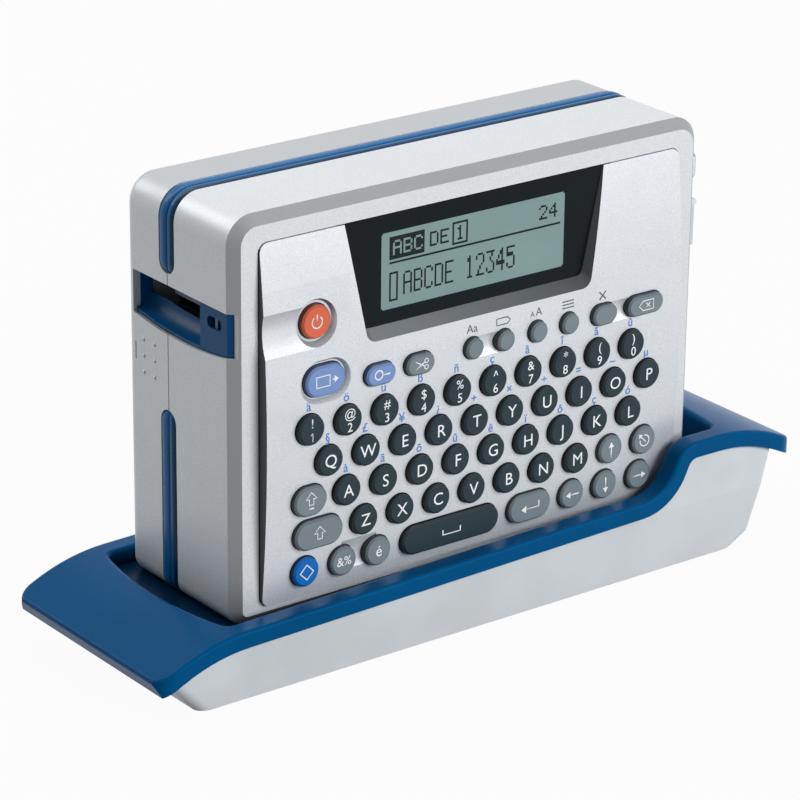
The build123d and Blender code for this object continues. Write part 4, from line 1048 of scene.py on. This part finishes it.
def return_sign():
    line = stroke([(3.2, 1.5), (3.2, -0.4), (-1.8, -0.4)], LINE)
    return [line, patch([(-1.6, 0.8), (-3.4, -0.4), (-1.6, -1.6)])]


def space_sign():
    return [stroke([(-3.2, 0.8), (-3.2, -0.8), (3.2, -0.8), (3.2, 0.8)], LINE)]


def code_sign():
    return [stroke([(0, 2.3), (2.3, 0), (0, -2.3), (-2.3, 0)], LINE, True)]


print("outlines of", FINE_LINE, "and", THIN_LINE, "mm")

# %% [markdown]
# Each sign becomes a piece of its own that rides on its key, so it goes down with the key when that is
# pressed.

# %% Signs on keys
SYMBOL_TALL = 2.9
ACCENT_TALL = 3.6
SIGNS = {
    "power_key": power_sign(), "print_key": print_sign(), "preview_key": looking_glass(),
    "cut_key": scissors(), "backspace_key": erase_sign(), "caps_key": shift_sign(True),
    "shift_key": shift_sign(False), "escape_key": escape_sign(), "code_key": code_sign(),
    "symbol_key": lettering("&%", SYMBOL_TALL), "accent_key": lettering("é", ACCENT_TALL),
    "space_key": space_sign(), "return_key": return_sign(), "up_key": arrow(90), "left_key": arrow(180),
    "down_key": arrow(270), "right_key": arrow(0),
}

for key, meshes in SIGNS.items():
    x, _, z = middle(key)
    printing(key + "_sign", key + "_body", "white_ink", [(meshes, key, x, z)])
print("signs on", len(SIGNS), "keys")

# %% [markdown]
# The panel has small printing of its own: blue second functions above the digit and letter keys, and dark
# signs above the row of small keys. The panel is arched, so flat ink would float or sink. Every point is
# dropped onto the surface, as on the keys.

# %% Printing on the panel
MARK_TALL = 2.8
MARK_RISE = 6.6 * MM
MARK_BOLD = 0.05
DIGIT_MARKS = "äöüßñçâîãû"
LETTER_MARKS = ("§£¥¿+×÷=~µ", "àãõûêïôçó", "")
SMALL_KEY_RISE = 5.7 * MM
TEXT_TALL = 2.7
MENU_LINE = 0.36
TWO_SIZES = ((1.8, -1.5, -0.4), (2.6, 0.9, 0.0))  # how tall, across, up


def panel_marks():
    places = list(zip(DIGIT_MARKS, digit_places))
    for signs, row in zip(LETTER_MARKS, letter_places):
        places += [(sign, (x, z)) for sign, (_, x, z) in zip(signs, row)]
    return [(lettering(sign, MARK_TALL, MARK_BOLD), "keypad_panel", x, z + MARK_RISE)
            for sign, (x, z) in places]


def two_sizes():
    """A small letter beside a larger one."""
    letters = []
    for tall, across, up in TWO_SIZES:
        letter, = lettering("A", tall)
        letter.transform(Matrix.Translation((across * MM, up * MM, 0)))
        letters.append(letter)
    return letters


def small_key_labels():
    labels = {
        "text_key": lettering("Aa", TEXT_TALL),
        "label_key": [stroke([(-2.5, -1), (1.4, -1), (2.5, 0), (1.4, 1), (-2.5, 1)], BLADE_LINE, True)],
        "size_key": two_sizes(),
        "tools_key": [stroke([(-2.2, s), (2.2, s)], MENU_LINE) for s in (-1, 0, 1)],
        "clear_key": [stroke([(-1.2, s * 1.2), (1.2, -s * 1.2)], FINE_LINE) for s in BOTH_WAYS],
    }
    places = [(meshes, middle(key)) for key, meshes in labels.items()]
    return [(meshes, "keypad_panel", x, z + SMALL_KEY_RISE) for meshes, (x, _, z) in places]


blue_marks, dark_marks = panel_marks(), small_key_labels()
printing("panel_blue_print", "label_maker", "blue_ink", blue_marks)
printing("panel_dark_print", "label_maker", "dark_ink", dark_marks)
print("panel with", len(blue_marks), "blue and", len(dark_marks), "dark marks")

# %% [markdown]
# The part of the liquid crystal that shows is a thin plate with rounded corners on the window's face. It
# could be a patch like the ink. Here it is a thin block whose four corner edges are bevelled, which needs no
# outline of points.

# %% Screen of the display
SCREEN_LOW = Vector((-33.7, 103.4)) * MM
SCREEN_HIGH = Vector((32.5, 126.3)) * MM
SCREEN_THICKNESS = 0.06 * MM
SCREEN_CORNER = 0.5 * MM
SCREEN_CORNER_STEPS = 3


def screen_plate():
    """Makes the plate and gives Y of its face."""
    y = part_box("lcd_window")[0].y
    low, high = SCREEN_LOW, SCREEN_HIGH
    build = bmesh.new()
    bmesh.ops.create_cube(build, size=1.0)
    bmesh.ops.scale(build, vec=(high.x - low.x, SCREEN_THICKNESS, high.y - low.y), verts=build.verts)
    centre = Vector(((low.x + high.x) / 2, y - SCREEN_THICKNESS / 2, (low.y + high.y) / 2))
    bmesh.ops.translate(build, vec=centre, verts=build.verts)
    edges = [e for e in build.edges if abs((e.verts[0].co - e.verts[1].co).y) > SCREEN_THICKNESS / 2]
    bmesh.ops.bevel(build, geom=edges, offset=SCREEN_CORNER, segments=SCREEN_CORNER_STEPS, affect="EDGES")
    mesh = bpy.data.meshes.new("plate")
    build.to_mesh(mesh)
    build.free()
    joined_piece("display_screen", "label_maker", finishes["lcd_green"], [mesh])
    return y - SCREEN_THICKNESS


screen_face = screen_plate()
print("screen", [round(c / MM, 1) for c in SCREEN_HIGH - SCREEN_LOW], "mm")

# %% [markdown]
# What repeats is made with Geometry Nodes. A tree has named inputs for its sizes, and it ends in Realize
# Instances and Set Material, because the export drops instances. The result is taken as a plain mesh and the
# modifier goes.
# The first tree sets a small block on every point. The display's dots use it, and the cassette's ridges
# later.

# %% Trees that grow a mesh
def growing_tree(name, *inputs):
    """A tree with named inputs, of which the first is the geometry that it grows from."""
    tree = bpy.data.node_groups.new(name, "GeometryNodeTree")
    sockets = [tree.interface.new_socket(label, in_out="INPUT", socket_type="NodeSocket" + kind).identifier
               for label, kind in inputs]
    tree.interface.new_socket("Grown", in_out="OUTPUT", socket_type="NodeSocketGeometry")
    return tree, tree.nodes.new("NodeGroupInput").outputs, sockets[1:]


def end_tree(tree, geometry, finish):
    """Real meshes in place of instances, then the finish, then the tree's output."""
    real = tree.nodes.new("GeometryNodeRealizeInstances")
    paint = tree.nodes.new("GeometryNodeSetMaterial")
    out = tree.nodes.new("NodeGroupOutput")
    paint.inputs["Material"].default_value = finish
    tree.links.new(geometry, real.inputs["Geometry"])
    tree.links.new(real.outputs["Geometry"], paint.inputs["Geometry"])
    tree.links.new(paint.outputs["Geometry"], out.inputs["Grown"])


def grown(data, tree, sockets, *values):
    """The plain mesh that a tree grows from some data."""
    holder = bpy.data.objects.new(data.name, data)
    scene.collection.objects.link(holder)
    modifier = holder.modifiers.new("grow", "NODES")
    modifier.node_group = tree
    for socket, value in zip(sockets, values):
        modifier[socket] = value
    bpy.context.view_layer.update()
    made = bpy.data.meshes.new_from_object(holder.evaluated_get(bpy.context.evaluated_depsgraph_get()))
    holder.modifiers.remove(modifier)
    bpy.data.objects.remove(holder)
    return made


print("trees end in real meshes with their finish")

# %% Blocks on points
def point_cloud(points):
    cloud = bpy.data.meshes.new("points")
    cloud.from_pydata(points, [], [])
    return cloud


def blocks(points, size, finish):
    """A block on every point, as one plain mesh."""
    tree, given, sockets = growing_tree("blocks_on_points", ("Points", "Geometry"), ("Block size", "Vector"))
    block = tree.nodes.new("GeometryNodeMeshCube")
    place = tree.nodes.new("GeometryNodeInstanceOnPoints")
    tree.links.new(given["Block size"], block.inputs["Size"])
    tree.links.new(given["Points"], place.inputs["Points"])
    tree.links.new(block.outputs["Mesh"], place.inputs["Instance"])
    end_tree(tree, place.outputs["Instances"], finish)
    return grown(point_cloud(points), tree, sockets, size)


print("blocks on points ready")

# %% [markdown]
# The picture on the display is made of square dots, as on a real one. A picture texture isn't needed: short
# patterns of text say which dots are on. The picture is generic: a tab, a page number, a line, and letters
# and figures in order.

# %% Patterns of the dots
DOT_ROWS = {
    "A": ".###. #...# #...# ##### #...# #...# #...#",
    "B": "####. #...# #...# ####. #...# #...# ####.",
    "C": ".###. #...# #.... #.... #.... #...# .###.",
    "D": "####. #...# #...# #...# #...# #...# ####.",
    "E": "##### #.... #.... ####. #.... #.... #####",
    "1": "..#.. .##.. ..#.. ..#.. ..#.. ..#.. .###.",
    "2": ".###. #...# ....# ...#. ..#.. .#... #####",
    "3": "##### ...#. ..#.. ...#. ....# #...# .###.",
    "4": "...#. ..##. .#.#. #..#. ##### ...#. ...#.",
    "5": "##### #.... ####. ....# ....# #...# .###.",
    " ": "..... ..... ..... ..... ..... ..... .....",
}
LETTER_STEP = 6
PLAIN_LINES = (0, 1, 2, 3, 4, 5, 6)
TALL_LINES = (0, 1, 1, 2, 2, 3, 4, 4, 5, 5, 6)
TAB_COLUMNS, TAB_ROWS = range(4, 24), range(23, 34)
TAB_WORD = ("ABC", 6, 25)
SMALL_WORDS = (("DE", 27, 25), ("1", 42, 25), ("24", 91, 25))
LARGE_WORD = ("ABCDE 12345", 12, 5, TALL_LINES)
FRAMES = ((40, 23, 48, 33), (4, 3, 8, 16))
RULE_COLUMNS, RULE_ROW = range(4, 104), 21


def word_dots(word, column, row, lines=PLAIN_LINES):
    """Column and row of every dot that is on, with rows counted up; lines may repeat for taller letters."""
    return {(column + LETTER_STEP * place + i, row + step)
            for place, letter in enumerate(word)
            for step, line in enumerate(reversed(lines))
            for i, mark in enumerate(DOT_ROWS[letter].split()[line]) if mark == "#"}


def frame_dots(left, bottom, right, top):
    level = {(i, j) for i in range(left, right + 1) for j in (bottom, top)}
    return level | {(i, j) for i in (left, right) for j in range(bottom + 1, top)}


def screen_dots():
    dots = {(i, j) for i in TAB_COLUMNS for j in TAB_ROWS} - word_dots(*TAB_WORD)
    dots |= {(i, RULE_ROW) for i in RULE_COLUMNS} | word_dots(*LARGE_WORD)
    dots = dots.union(*(word_dots(*word) for word in SMALL_WORDS))
    return dots.union(*(frame_dots(*edges) for edges in FRAMES))


lit = sorted(screen_dots())
print(len(lit), "dots are on")

# %% Dots on the screen
DOT_PITCH = 0.62 * MM
DOT_SHARE = 0.96
DOT_THICKNESS = 0.03 * MM

y = screen_face - DOT_THICKNESS / 2
points = [(SCREEN_LOW.x + (i + 1) * DOT_PITCH, y, SCREEN_LOW.y + (j + 1) * DOT_PITCH) for i, j in lit]
dot_size = (DOT_SHARE * DOT_PITCH, DOT_THICKNESS, DOT_SHARE * DOT_PITCH)
dots = blocks(points, dot_size, finishes["display_dot"])
joined_piece("display_dots", "label_maker", finishes["display_dot"], [dots])
print("display with", len(points), "dots")

# %% [markdown]
# The trim strips are rubber mouldings pressed into a channel along the seam, each with two round beads and a
# groove between them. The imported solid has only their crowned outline. A strip is one section drawn out along
# a path, so Geometry Nodes sweep the section along the floor of the channel. A curve's own bevel could do
# this too, but it has no named sizes. First come the paths: over the top, and down each side. Each carries a
# radius that shrinks the section to a rounded nose where a strip ends.

# %% Paths of the trim strips
CHANNEL_DEPTH = 1.2
STRIP_PROUD = 0.35
STRIP_CORNER = 8.5
STRIP_LOWER_CORNER = 4.8
STRIP_LOWER_TURN = 53.5
STRIP_UPPER_TIP = 115.7
STRIP_LOWER_TIP = 74.6
BEND_STEPS = 10
NOSE_TURNS = (8, 20, 35, 50, 65, 80, 90)


def strip_paths(side, top, half):
    """Stations of the upper strip and the two lower ones from the front, each with the body on its left."""
    def nose(x, tip, inwards):
        turns = [math.radians(turn) for turn in NOSE_TURNS]
        return [(x, tip + inwards * half * (1 - math.cos(turn)), math.sin(turn)) for turn in turns]

    def bend(radius, start, end, x, z):
        return [(*point, 1.0) for point in ring(radius, start, end, BEND_STEPS, (x, z))]

    upper, lower = STRIP_CORNER - CHANNEL_DEPTH, STRIP_LOWER_CORNER - CHANNEL_DEPTH
    low = body_box()[0].z / MM + STRIP_LOWER_CORNER
    over = nose(side, STRIP_UPPER_TIP, 1) + bend(upper, 0, 90, side - upper, top - upper)
    over += bend(upper, 90, 180, upper - side, top - upper) + nose(-side, STRIP_UPPER_TIP, 1)[::-1]
    right = bend(lower, -STRIP_LOWER_TURN, 0, side - lower, low) + nose(side, STRIP_LOWER_TIP, -1)[::-1]
    left = nose(-side, STRIP_LOWER_TIP, -1) + bend(lower, 180, 180 + STRIP_LOWER_TURN, lower - side, low)
    return over, right, left


strip_low, strip_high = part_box("trim_strips")
strip_width = (strip_high.y - strip_low.y) / MM
strip_height = CHANNEL_DEPTH + STRIP_PROUD
paths = strip_paths(strip_high.x / MM - strip_height, strip_high.z / MM - strip_height, strip_width / 2)
print("paths with", [len(path) for path in paths], "stations")

# %% [markdown]
# The section is drawn one unit high and wide, from the front edge to the back, and the tree's sizes scale it.
# The paths lie flat while they are swept, so that Z keeps every section upright. Then the mesh is stood up in
# the seam, where it takes the place of the plain solid.

# %% Beaded trim strips
STRIP_SECTION = ((0, 0), (0, 0.48), (0.04, 0.60), (0.09, 0.72), (0.15, 0.82), (0.22, 0.88), (0.29, 0.90),
                 (0.35, 0.885), (0.40, 0.83), (0.43, 0.76), (0.45, 0.68), (0.47, 0.76), (0.50, 0.86),
                 (0.55, 0.94), (0.62, 0.985), (0.70, 1.0), (0.78, 0.985), (0.86, 0.94), (0.93, 0.84),
                 (0.97, 0.70), (1, 0.48), (1, 0))


def sweep_tree(finish):
    """Draws a section out along every path, times the path's own radius."""
    tree, given, sockets = growing_tree("swept_section", ("Paths", "Geometry"), ("Section", "Object"),
                                        ("Strip height", "Float"), ("Strip width", "Float"))
    section = tree.nodes.new("GeometryNodeObjectInfo")
    size = tree.nodes.new("ShaderNodeCombineXYZ")
    sized = tree.nodes.new("GeometryNodeTransform")
    share = tree.nodes.new("GeometryNodeInputRadius")
    sweep = tree.nodes.new("GeometryNodeCurveToMesh")
    sweep.inputs["Fill Caps"].default_value = True
    tree.links.new(given["Section"], section.inputs["Object"])
    tree.links.new(given["Strip height"], size.inputs["X"])
    tree.links.new(given["Strip width"], size.inputs["Y"])
    tree.links.new(section.outputs["Geometry"], sized.inputs["Geometry"])
    tree.links.new(size.outputs["Vector"], sized.inputs["Scale"])
    tree.links.new(given["Paths"], sweep.inputs["Curve"])
    tree.links.new(sized.outputs["Geometry"], sweep.inputs["Profile Curve"])
    tree.links.new(share.outputs["Radius"], sweep.inputs["Scale"])
    end_tree(tree, sweep.outputs["Mesh"], finish)
    return tree, sockets


def beaded_strips():
    outline = [(up, across - 0.5) for across, up in STRIP_SECTION]
    section = bpy.data.objects.new("strip_section", drawn("strip_section", [outline], True))
    scene.collection.objects.link(section)
    flat_paths = drawn("strip_paths", paths, False)
    flat_paths.twist_mode = "Z_UP"
    tree, sockets = sweep_tree(finishes["trim_strip"])
    mesh = grown(flat_paths, tree, sockets, section, strip_height, strip_width)
    bpy.data.objects.remove(section)
    mesh.transform(Matrix.Translation((0, (strip_low.y + strip_high.y) / 2, 0)) @ FRONTWARDS)
    piece = joined_piece("beaded_trim", "label_maker", finishes["trim_strip"], [mesh])
    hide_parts("trim_strips")
    return piece


print("trim strips with", len(beaded_strips().data.polygons), "faces")

# %% [markdown]
# Cross-head screws hold the shells together from the back and the cradle from below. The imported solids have
# plain heads. A boolean cut could sink the cross, but stacked flat shapes are cleaner: a rim with a
# cross-shaped hole, the rest of the head, and the shank.

# %% One screw
SCREW_HEAD = 2.0
SCREW_UNDERCUT = 0.1
SCREW_SHANK = 1.1
HEAD_STEPS = 32
SHANK_STEPS = 20
CROSS_REACH = 1.3
CROSS_HALF = 0.34
CROSS_DEPTH_SHARE = 0.6


def one_screw(head, length):
    """A screw with its head's top at the origin and its shank down Z, all in millimetres."""
    corner = [(CROSS_HALF, CROSS_HALF), (CROSS_HALF, CROSS_REACH), (-CROSS_HALF, CROSS_REACH)]
    cross = []
    for _ in range(4):
        cross += corner
        corner = [(-y, x) for x, y in corner]
    depth = CROSS_DEPTH_SHARE * head
    layers = (((ring(SCREW_HEAD, steps=HEAD_STEPS)[:-1], cross), 0, depth),
              ((ring(SCREW_HEAD - SCREW_UNDERCUT, steps=HEAD_STEPS)[:-1],), depth, head),
              ((ring(SCREW_SHANK, steps=SHANK_STEPS)[:-1],), head, length))
    meshes = []
    for outlines, top, bottom in layers:
        mesh = patch(*outlines, thickness=(bottom - top) * MM)
        mesh.transform(Matrix.Translation((0, 0, -(top + bottom) / 2 * MM)))
        meshes.append(mesh)
    return bpy.data.objects.new("screw", joined_mesh("screw", meshes))


print("screw heads", 2 * SCREW_HEAD, "mm across")

# %% [markdown]
# Geometry Nodes set the screw on every screw's place, which the boxes of the plain solids give. A loop over
# copies would do it too. A screwdriver leaves each cross at another angle, so the nodes turn every screw at
# random, with a fixed seed.

# %% Tree that sets the screws
QUARTER_TURN = math.pi / 2


def screw_tree(finish):
    """Sets a screw on every point, tipped to its axis and turned at random."""
    tree, given, sockets = growing_tree("screws_on_points", ("Points", "Geometry"), ("Screw", "Object"),
                                        ("Tip", "Vector"), ("Seed", "Int"))
    screw = tree.nodes.new("GeometryNodeObjectInfo")
    place = tree.nodes.new("GeometryNodeInstanceOnPoints")
    chance = tree.nodes.new("FunctionNodeRandomValue")
    turn = tree.nodes.new("ShaderNodeCombineXYZ")
    turned = tree.nodes.new("GeometryNodeRotateInstances")
    chance.data_type = "FLOAT"
    widest = [socket for socket in chance.inputs if socket.name == "Max" and socket.type == "VALUE"][0]
    widest.default_value = QUARTER_TURN
    angle = [socket for socket in chance.outputs if socket.type == "VALUE"][0]
    tree.links.new(given["Screw"], screw.inputs["Object"])
    tree.links.new(given["Points"], place.inputs["Points"])
    tree.links.new(screw.outputs["Geometry"], place.inputs["Instance"])
    tree.links.new(given["Tip"], place.inputs["Rotation"])
    tree.links.new(given["Seed"], chance.inputs["Seed"])
    tree.links.new(angle, turn.inputs["Z"])
    tree.links.new(place.outputs["Instances"], turned.inputs["Instances"])
    tree.links.new(turn.outputs["Vector"], turned.inputs["Rotation"])
    end_tree(tree, turned.outputs["Instances"], finish)
    return tree, sockets


print("screws turn by up to", round(math.degrees(QUARTER_TURN)), "degrees")

# %% Screws on their places
SCREW_SEED = 7
CASE_HEAD = 1.8
CRADLE_HEAD = 0.9
BACKWARDS = (-QUARTER_TURN, 0, 0)
DOWNWARDS = (2 * QUARTER_TURN, 0, 0)


def screws(name, node, body, points, head, length, tip):
    """The screws of one body, in place of their plain solids."""
    finish = finishes[slots[node]]
    screw = one_screw(head, length / MM)
    scene.collection.objects.link(screw)
    tree, sockets = screw_tree(finish)
    mesh = grown(point_cloud(points), tree, sockets, screw, tip, SCREW_SEED)
    bpy.data.objects.remove(screw)
    piece = joined_piece(name, body, finish, [mesh])
    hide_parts(node)
    print(name, len(points), "screws,", len(piece.data.polygons), "faces")


edge = SCREW_HEAD * MM
low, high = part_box("case_screws")
points = [(x, high.y, z) for x in (low.x + edge, high.x - edge) for z in (low.z + edge, high.z - edge)]
screws("back_screws", "case_screws", "label_maker", points, CASE_HEAD, high.y - low.y, BACKWARDS)
low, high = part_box("cradle_screws")
points = [(x, y, low.z) for x in (low.x + edge, high.x - edge) for y in (low.y + edge, high.y - edge)]
screws("base_screws", "cradle_screws", "cradle", points, CRADLE_HEAD, high.z - low.z, DOWNWARDS)

# %% [markdown]
# Behind the back door lies the tape cassette. Its spools end in toothed hubs that the drive turns, so each
# hub rides on its own spool and turns with it. They could be cut into the cassette's solid, but then they
# would stand still. Each is a patch with a toothed hole, over a dark round patch, a painted shade that
# stands for the well it turns in.

# %% Hubs of the cassette
HUB_OUTSIDE = 4.6
HUB_INSIDE = 3.3
HUB_TOOTH = 2.3
HUB_TEETH = 6
HUB_STEPS = 36
HUB_HEIGHT = 0.3 * MM
HUB_GAP = 0.7
TOOTH_STEPS = ((0, HUB_TOOTH), (0.15, HUB_TOOTH), (0.22, HUB_INSIDE), (0.46, HUB_INSIDE), (0.7, HUB_INSIDE),
               (0.93, HUB_INSIDE))
LAYER = 0.06 * MM
FIRST_LAYER, SECOND_LAYER = LAYER / 2, 1.5 * LAYER
SPOOLS = {"tape_roll": "roll", "ribbon_supply": "supply_spool", "ribbon_takeup": "takeup_spool"}


def hub_inside():
    """The hub's inner outline, with teeth that point inwards."""
    turns = [(math.tau * (tooth + part) / HUB_TEETH, reach)
             for tooth in range(HUB_TEETH) for part, reach in TOOTH_STEPS]
    return [(reach * math.cos(turn), reach * math.sin(turn)) for turn, reach in turns]


def laid_behind(mesh, x, y, z):
    mesh.transform(Matrix.Translation((x, y, z)) @ FRONTWARDS)
    return mesh


_, cassette_back, _ = middle("cassette_case")
well_shades = []
for spool, body in SPOOLS.items():
    x, _, z = middle(spool)
    # The dark round patch is a painted shade for the well round the hub.
    well = patch(ring(HUB_OUTSIDE + HUB_GAP, steps=HUB_STEPS)[:-1])
    well_shades.append(laid_behind(well, x, cassette_back + FIRST_LAYER, z))
    hub = patch(ring(HUB_OUTSIDE, steps=HUB_STEPS)[:-1], hub_inside(), thickness=HUB_HEIGHT)
    hub = laid_behind(hub, x, cassette_back + SECOND_LAYER + HUB_HEIGHT / 2, z)
    joined_piece(spool + "_hub", body, finishes["white_gear"], [hub])
joined_piece("cassette_hub_wells", "label_maker", finishes["black_plastic"], well_shades)
print("cassette with", len(SPOOLS), "hubs")

# %% [markdown]
# A bare sticker, a coloured band and ridges for the fingers finish the cassette. Sticker and band are thin
# patches with rounded corners. The ridges repeat, so they are blocks on points.

# %% Sticker, band and ridges
CORNER_STEPS = 5
STICKER_OUTLINE = (23, 9, 1.5)
BAND_OUTLINE = (21, 2, 0.6)
STICKER_SHIFT = -3 * MM
STICKER_RISE = 17 * MM
BAND_RISE = 21 * MM
RIDGE_SIZE = Vector((26, 0.8, 0.9)) * MM
RIDGE_HEIGHTS = (71.0, 73.2, 75.4, 77.6, 79.8)


def rounded(half_x, half_z, radius):
    corners = ((1, 1), (-1, 1), (-1, -1), (1, -1))
    places = [(x * (half_x - radius), z * (half_z - radius)) for x, z in corners]
    return [point for i, place in enumerate(places)
            for point in ring(radius, 90 * i, 90 * i + 90, CORNER_STEPS, place)]


roll_x, _, roll_z = middle("tape_roll")
x = roll_x + STICKER_SHIFT
sticker = patch(rounded(*STICKER_OUTLINE))
sticker = laid_behind(sticker, x, cassette_back + FIRST_LAYER, roll_z + STICKER_RISE)
joined_piece("cassette_sticker", "label_maker", finishes["sticker_paper"], [sticker])
band = laid_behind(patch(rounded(*BAND_OUTLINE)), x, cassette_back + SECOND_LAYER, roll_z + BAND_RISE)
joined_piece("cassette_band", "label_maker", finishes["trim_blue"], [band])
points = [(roll_x, cassette_back + RIDGE_SIZE.y / 2, height * MM) for height in RIDGE_HEIGHTS]
ridges = blocks(points, RIDGE_SIZE, finishes["cassette_grey"])
joined_piece("cassette_ridges", "label_maker", finishes["cassette_grey"], [ridges])
print("cassette with", len(RIDGE_HEIGHTS), "ridges")

# %% [markdown]
# The battery beside the cassette is a wrapped pack with a bare sticker, on which the signs of its two poles
# are printed: a plus above and a minus below.

# %% Battery
BATTERY_OUTLINE = (13, 19, 1.5)
BATTERY_STICKER_RISE = 17 * MM
POLE_HALF = 2.5
POLE_RISE = 13
POLE_LINE = 0.9

x, battery_back, z = middle("battery_pack")
z += BATTERY_STICKER_RISE
sticker = laid_behind(patch(rounded(*BATTERY_OUTLINE)), x, battery_back + FIRST_LAYER, z)
joined_piece("battery_sticker", "label_maker", finishes["sticker_paper"], [sticker])
bars = [[(-POLE_HALF, POLE_RISE), (POLE_HALF, POLE_RISE)],
        [(0, POLE_RISE - POLE_HALF), (0, POLE_RISE + POLE_HALF)],
        [(-POLE_HALF, -POLE_RISE), (POLE_HALF, -POLE_RISE)]]
poles = [laid_behind(stroke(bar, POLE_LINE), x, battery_back + SECOND_LAYER, z) for bar in bars]
joined_piece("battery_poles", "label_maker", finishes["dark_ink"], poles)
print("battery with a plus and a minus")

# %% [markdown]
# Last come the sizes. Both boxes, the solids' and the dressed one, are printed side by side. Nothing
# that this lesson adds may stand out of the solids' box.

# %% Sizes
low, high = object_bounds()
print("solid box", [round(c, 4) for c in solid_low], [round(c, 4) for c in solid_high])
print("dressed box", [round(c, 4) for c in low], [round(c, 4) for c in high])
